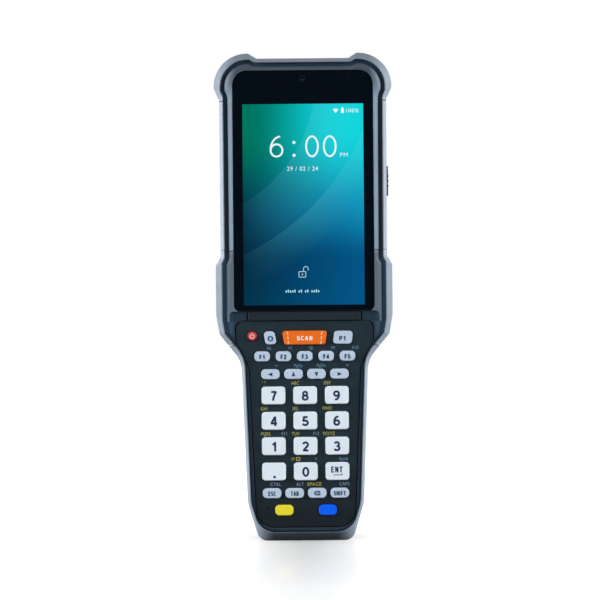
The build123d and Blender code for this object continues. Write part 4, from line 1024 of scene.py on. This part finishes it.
@dataclass
class Screen:
    """Cover glass with its black border, the lit picture on it, and what shows through the border."""

    lettering: Lettering
    half: float = 28.1            # lit area
    low_z: float = 109.8
    top_z: float = 203.3
    glass_y: float = -16.4
    mark: float = 0.01            # thickness of a mark
    camera_z: float = 215.1
    clock_z: float = 183.5
    figure: tuple[float, float] = (2.75, 4.65)  # half sizes of a figure's centre line
    thin: float = 0.86            # width of its stroke
    status_z: float = 200.0
    lock: tuple[float, float] = (-0.8, 124.0)
    hint: tuple[float, float] = (-8.4, 115.6)   # middle of its first bar, and its foot
    sweeps: tuple[tuple[float, ...], ...] = ((-60.0, 215.0, 66.0, 92.0), (-75.0, 235.0, 112.0, 128.0))
    meadow: Colour = (0, 118, 97)
    lagoon: Colour = (16, 212, 220)
    pine: Colour = (3, 52, 74)
    ocean: Colour = (18, 146, 188)
    navy: Colour = (4, 38, 62)
    harbour: Colour = (4, 86, 136)
    sweep: Colour = (90, 214, 232)
    border: Colour = (7, 15, 24)

    def build(self) -> None:
        """Light the glass, then add the clock, the signs and the camera in the border."""
        dress("touch_glass", self.picture())
        self.clock()
        self.status()
        self.padlock()
        self.bars()
        self.border_parts()

    def picture(self) -> bpy.types.Material:
        """Glass: black border, and inside the lit area a soft picture that shines.

        Formula: rows of colour, each mixed from left to right, are mixed from the bottom up. Two broad
        curved sweeps are a little lighter: from the inner to the outer radius about a far centre.

        Returns:
            The material.
        """
        w = Paint("lit_glass")
        x, y, z = w.axes()
        u = w.span(x, -self.half * MM, self.half * MM)
        v = w.span(z, self.low_z * MM, self.top_z * MM)
        pine, harbour = linear(self.pine), linear(self.harbour)
        colour = w.mix(w.span(v, 0.0, 0.2), w.mix(u, pine, harbour), w.mix(u, linear(self.navy), harbour))
        middle = w.mix(u, pine, linear(self.ocean))
        high = w.mix(w.span(u, 0.05, 0.85, kind="SMOOTHSTEP"), linear(self.meadow), linear(self.lagoon))
        colour = w.mix(w.span(v, 0.22, 0.52, kind="SMOOTHSTEP"), colour, middle)
        colour = w.mix(w.span(v, 0.44, 0.88, kind="SMOOTHSTEP"), colour, high)
        for centre_x, centre_z, inner, outer in self.sweeps:
            centre = (centre_x * MM, self.glass_y * MM, centre_z * MM)
            away = w.node("ShaderNodeVectorMath", {0: w.place(), 1: centre}, operation="DISTANCE")
            reach = away.outputs["Value"]
            fall = w.span(reach, inner * MM, outer * MM, 0.13, 0.0)
            fade = w.math("MULTIPLY", fall, w.span(u, 0.0, 0.6, 0.15))
            lighter = w.math("MULTIPLY", w.math("GREATER_THAN", reach, inner * MM), fade)
            colour = w.mix(lighter, colour, linear(self.sweep))
        inside = w.math("LESS_THAN", w.math("ABSOLUTE", x), self.half * MM)
        for operation, edge, axis in (("GREATER_THAN", self.low_z, z), ("LESS_THAN", self.top_z, z),
                                      ("LESS_THAN", self.glass_y + 0.2, y)):
            inside = w.math("MULTIPLY", inside, w.math(operation, axis, edge * MM))
        return w.shade(
            Base_Color=w.mix(inside, linear(self.border), NONE),
            Emission_Color=w.mix(inside, NONE, colour),
            Emission_Strength=1.0,
            Roughness=w.span(w.noise(14.0, 3.0), 0.35, 0.65, 0.035, 0.075),
            Specular_IOR_Level=0.22,
        )

    def clock(self) -> None:
        """Time in thin large figures, half of day, and a date in figures."""
        stock = Stock()
        y, z, thin, mark = self.glass_y, self.clock_z, self.thin, self.mark
        wide, high = self.figure
        for x in (4.2, 12.45):
            stock.flat(ring(0, 0, wide, high, thin), x, y, z, mark)
        stock.flat(ring(0, -1.75, wide, 2.85, thin), -12.3, y, z, mark)
        stock.flat([band(oval(1.85, -1.55, 4.6, 6.2, 180, 92), thin)], -12.3, y, z, mark + 0.002)
        for rise in (-4.1, 1.9):
            stock.flat([circle(0.72)], -4.2, y, z + rise, mark)
        self.lettering.put(stock, "PM", 19.0, y, z - 4.0, 1.75, 0.0, 1.15, mark, 1.12)
        self.lettering.put(stock, "29 / 02 / 24", -0.3, y, z - 10.3, 1.9, 0.004, 1.2, mark, 0.9)
        stock.piece("screen_clock", Finish.LIT)

    def status(self) -> None:
        """Signal fan, battery and charge in the lit area's upper corner."""
        stock = Stock()
        y, z, mark = self.glass_y, self.status_z, self.mark
        fan = np.vstack(([[0.0, -1.1]], oval(0.0, -1.1, 2.1, 2.1, 52, 128, 24)))
        stock.flat([fan], 15.3, y, z, mark)
        stock.flat([rounded(1.3, 2.2, 0.3)], 18.5, y, z, mark)
        stock.flat([rounded(0.6, 0.5, 0.1)], 18.5, y, z + 1.3, mark)
        self.lettering.put(stock, "100%", 22.9, y, z, 1.7, 0.0, 1.12, mark, 1.08)
        stock.piece("screen_status", Finish.LIT)

    def padlock(self) -> None:
        """Open padlock low on the picture."""
        shackle = np.vstack(([[0.55, 1.45]], oval(1.65, 2.55, 1.1, 1.1, 180, 0, 24), [[2.75, 1.85]]))
        stock = Stock()
        case = [rounded(3.5, 2.9, 0.45), rounded(2.85, 2.25, 0.2)]
        for loops in (case, [circle(0.36, 20)], [band(shackle, 0.34)]):
            stock.flat(loops, self.lock[0], self.glass_y, self.lock[1], self.mark)
        stock.piece("screen_lock", Finish.LIT_SOFT)

    def bars(self) -> None:
        """Hint under the padlock whose letters are plain upright bars, some taller."""
        stock = Stock()
        x, foot = self.hint
        for letters in (5, 2, 2, 4):
            for index in range(letters):
                tall = 1.35 if (index + letters) % 3 == 0 else 1.0
                stock.flat([rounded(0.62, tall, 0.2)], x, self.glass_y, foot + tall / 2, self.mark)
                x += 1.02
            x += 0.95
        stock.piece("screen_hint", Finish.LIT_SOFT)

    def border_parts(self) -> None:
        """Ring and lens of the front camera, the light sensors and the earpiece slit."""
        y, z, mark = self.glass_y, self.camera_z, self.mark
        Stock().flat([circle(1.35), circle(1.0)], 0.0, y, z, 2 * mark).piece("front_camera_ring", Finish.RING)
        Stock().dome(0.78, 0.10, (0.0, y - mark, z), 9, 36, 0.98).piece(
            "front_camera_lens", Finish.LENS, slot="lens_glass", smooth=True)
        sensors = Stock()
        for x in (16.6, 21.0):
            sensors.flat([circle(0.95, 32)], x, y, z + 0.3, mark)
        sensors.flat([rounded(2.6, 0.7, 0.3)], -17.3, y, z + 0.9, mark).piece("light_sensors", Finish.TINT)


@dataclass
class Trim:
    """Painted shade of the bar's slots, and ribs, lens borders and small printed signs that finish the front,
    side, back and top.
    """

    bar_slot_x: float = 26.55
    bar_z: tuple[float, float] = (102.75, 106.6)
    plate_y: float = -15.3
    side_key: Place = (39.6, -10.0, 167.4)
    rib_pitch: float = 2.4
    rear_lens: Place = (-18.0, 13.0, 190.0)
    flash_drop: float = 9.0
    scan_window: Place = (0.0, 3.7, 223.4)
    scan_lens: float = -1.0       # off the window's middle along X
    scan_eyes: tuple[float, ...] = (-7.8, 6.2, 9.2)
    door_sign: Place = (0.0, 17.0, 68.4)
    ink: float = 0.02             # thickness of a border
    film: float = 0.015           # of what lies inside it

    def build(self) -> None:
        """Add every detail."""
        self.bar_slot_shade()
        self.side_key_ribs()
        self.rear_lenses()
        self.scan_lenses()
        Stock(Side.BACK).flat([path((0.0, 0.9), (-1.2, -0.7), (1.2, -0.7))], *self.door_sign, self.ink).piece(
            "latch_sign", Finish.GREY_INK, "battery")

    def bar_slot_shade(self) -> None:
        """Painted shade of the slots at the ends of the bar: dark flat plates."""
        stock = Stock()
        low, high = self.bar_z
        for x in (-self.bar_slot_x, self.bar_slot_x):
            stock.flat([rounded(0.7, high - low, 0.3)], x, self.plate_y, (low + high) / 2, self.ink)
        stock.piece("bar_end_slot_shade", Finish.PIT)

    def side_key_ribs(self) -> None:
        """Three ribs that the finger feels on the side key."""
        stock = Stock(Side.RIGHT)
        x, y, z = self.side_key
        for step in (-1, 0, 1):
            stock.flat([rounded(2.6, 0.8, 0.35)], x, y, z + step * self.rib_pitch, 0.22)
        stock.piece("side_key_ribs", Finish.RUBBER, "side_key", "side_key_dark")

    def rear_lenses(self) -> None:
        """Black border, rim and lens of the rear camera, and the diffuser of its light."""
        x, y, z = self.rear_lens
        low = z - self.flash_drop
        border, rim, light = Stock(Side.BACK), Stock(Side.BACK), Stock(Side.BACK)
        border.flat([circle(4.45), circle(2.75)], x, y, z, self.ink)
        border.flat([circle(1.58), circle(1.22)], x, y, low, self.ink)
        border.piece("rear_lens_border", Finish.LENS_BORDER)
        rim.flat([circle(2.75), circle(2.45)], x, y, z).flat([circle(1.75), circle(1.6)], x, y, z, self.film)
        rim.piece("rear_lens_rim", Finish.LENS_RIM)
        light.flat([circle(1.22, 32)], x, y, low, self.film).piece("flash_diffuser", Finish.FLASH)
        Stock(Side.BACK).dome(1.5, 0.22, self.rear_lens, 10, 48, 0.99).piece(
            "rear_camera_lens", Finish.LENS, slot="lens_glass", smooth=True)

    def scan_lenses(self) -> None:
        """Border of the scan window and the parts of the engine that show through it."""
        x, y, z = self.scan_window
        border, rims, lens = Stock(Side.TOP), Stock(Side.TOP), Stock(Side.TOP)
        border.flat([rounded(25.4, 5.9, 1.0), rounded(23.8, 4.5, 0.7)], x, y, z, self.ink)
        border.piece("scan_window_border", Finish.LENS_BORDER)
        rims.flat([rounded(6.4, 3.8, 1.2), rounded(5.6, 3.0, 0.9)], x + self.scan_lens, y, z, self.ink)
        lens.flat([circle(1.3)], x + self.scan_lens, y, z, self.film)
        for off in self.scan_eyes:
            rims.flat([circle(1.15, 32), circle(0.85, 32)], x + off, y, z, self.ink)
            lens.flat([circle(0.6, 32)], x + off, y, z, self.film)
        rims.piece("scan_lens_rims", Finish.LENS_RIM)
        lens.piece("scan_lens_eyes", Finish.LENS)


@dataclass(frozen=True)
class Lamp:
    """Soft box, in metres and watts."""

    name: str
    place: Place
    size: tuple[float, float]
    power: float

    def build(self, aim: Place) -> None:
        """Hang the lamp and turn it to face a point.

        Args:
            aim: What it faces, in metres.
        """
        light = bpy.data.lights.new(self.name, "AREA")
        light.shape = "RECTANGLE"
        light.size, light.size_y = self.size
        light.energy = self.power
        lamp = bpy.data.objects.new(self.name, light)
        lamp.location = self.place
        lamp.rotation_euler = (Vector(aim) - Vector(self.place)).to_track_quat("-Z", "Y").to_euler()
        bpy.context.scene.collection.objects.link(lamp)


@dataclass
class Stage:
    """Floor, sky, lamps and the camera."""

    frame_mm: float = 279.0       # width of the picture at the face
    face_y: float = -16.4
    middle: tuple[float, float] = (-2.0, 112.1)
    lens: float = 150.0
    sensor: float = 36.0
    roll: float = 0.5             # degrees; the top leans to the left
    floor_half: float = 4000.0
    low_glow: float = 0.29        # of the floor under the object, lower than far off, which paints a faint shade pool there
    glow_start: float = 0.05      # metres from the object to where the glow starts to grow
    white_reach: float = 0.50     # metres from the object to where the floor is white
    beside: float = 10.0          # how many times a distance counts beside the object
    behind: float = 6.0
    dull_light: float = 0.30      # of the sky, for what is neither gloss nor seen
    gloss_light: float = 0.85     # of the sky behind the object, in gloss
    aim: Place = (0.0, 0.0, 0.11)
    lamps: tuple[Lamp, ...] = (
        Lamp("left_strip", (-0.62, 0.08, 0.14), (0.45, 0.62), 5.7),
        Lamp("right_strip", (0.62, 0.08, 0.14), (0.45, 0.62), 4.5),
        Lamp("left_fill", (-1.2, -0.62, 0.62), (0.7, 0.7), 12.6),
        Lamp("right_fill", (1.2, -0.62, 0.62), (0.7, 0.7), 12.6),
    )

    def build(self) -> None:
        """Set up everything that isn't part of the object."""
        self.floor()
        self.sky()
        for lamp in self.lamps:
            lamp.build(self.aim)
        self.camera()

    def floor(self) -> None:
        """Wide pale floor that turns white to the camera away from the object, with a faint painted shade
        pool near it.

        Formula: the glow grows from low_glow near the object to one far off, with a distance that counts
        more along X and behind the object, so that the floor beside and behind it turns white sooner than
        that before it.
        """
        w = Paint("pale_floor")
        x, y, _ = w.axes()
        across = w.math("MULTIPLY", x, self.beside)
        along = w.math("MAXIMUM", w.math("MULTIPLY", y, self.behind), w.math("MULTIPLY", y, -1.0))
        squares = (w.math("MULTIPLY", part, part) for part in (across, along))
        away = w.math("SQRT", w.math("ADD", *squares))
        # Lower glow near the object: a faint painted shade pool, in which the real shadow and reflection
        # show.
        glow = w.span(away, self.glow_start, self.white_reach, self.low_glow)
        seen = w.node("ShaderNodeLightPath").outputs["Is Camera Ray"]
        material = w.shade(
            Base_Color=w.mix(w.noise(60.0), (0.40, 0.405, 0.41, 1.0), (0.42, 0.42, 0.425, 1.0)),
            Roughness=0.6,
            Specular_IOR_Level=0.05,
            Coat_Weight=0.2,
            Coat_Roughness=0.07,
            Emission_Color=FULL,
            Emission_Strength=w.math("MULTIPLY", seen, glow),
        )
        edge = np.linspace(-self.floor_half, self.floor_half, 3)
        a, b = np.meshgrid(edge, edge, indexing="ij")
        Stock().grid(np.stack((a, b, np.zeros_like(a)), axis=-1)[:, ::-1]).shape("floor", material)

    def sky(self) -> None:
        """White where the camera looks, a ramp from front to back in gloss, and a soft light for the rest."""
        world = bpy.data.worlds.new("studio")
        w = Wiring(world)
        path = w.node("ShaderNodeLightPath").outputs
        gloss = w.math("MAXIMUM", path["Is Glossy Ray"], path["Is Transmission Ray"])
        ramp = w.span(w.axes("Generated")[1], -0.8, 0.2, 0.0, self.gloss_light)
        soft = w.node("ShaderNodeMix", {0: gloss, 2: self.dull_light, 3: ramp}).outputs[0]
        strength = w.node("ShaderNodeMix", {0: path["Is Camera Ray"], 2: soft, 3: 1.0}).outputs[0]
        background = w.node("ShaderNodeBackground", {"Color": FULL, "Strength": strength})
        w.node("ShaderNodeOutputWorld", {0: background.outputs[0]})
        bpy.context.scene.world = world

    def camera(self) -> None:
        """Long-lens camera, level with the middle of the object, rolled a little.

        Formula: the distance is half the picture's width at the face, times the lens over half the sensor.
        """
        data = bpy.data.cameras.new("camera")
        data.lens, data.sensor_width = self.lens, self.sensor
        camera = bpy.data.objects.new("camera", data)
        distance = self.frame_mm / 2 * self.lens / (self.sensor / 2)
        c, s = math.cos(math.radians(self.roll)), math.sin(math.radians(self.roll))
        x, z = self.middle
        camera.matrix_world = Matrix((
            (c, s, 0.0, x * MM),
            (0.0, 0.0, -1.0, (self.face_y - distance) * MM),
            (-s, c, 0.0, z * MM),
            (0.0, 0.0, 0.0, 1.0),
        ))
        bpy.context.scene.collection.objects.link(camera)
        bpy.context.scene.camera = camera


def main() -> None:
    """Build each sub-assembly, then the stage, and log each one built."""
    logging.basicConfig(level=logging.INFO, format="%(message)s")
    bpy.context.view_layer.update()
    bpy.context.scene.view_settings.view_transform = "Standard"
    lettering = Lettering()
    for part in (Shell(), Keypad(lettering, Strokes()), Screen(lettering), Trim(), Stage()):
        part.build()
        log.info("built %s", type(part).__name__)


if __name__ == "__main__":
    main()
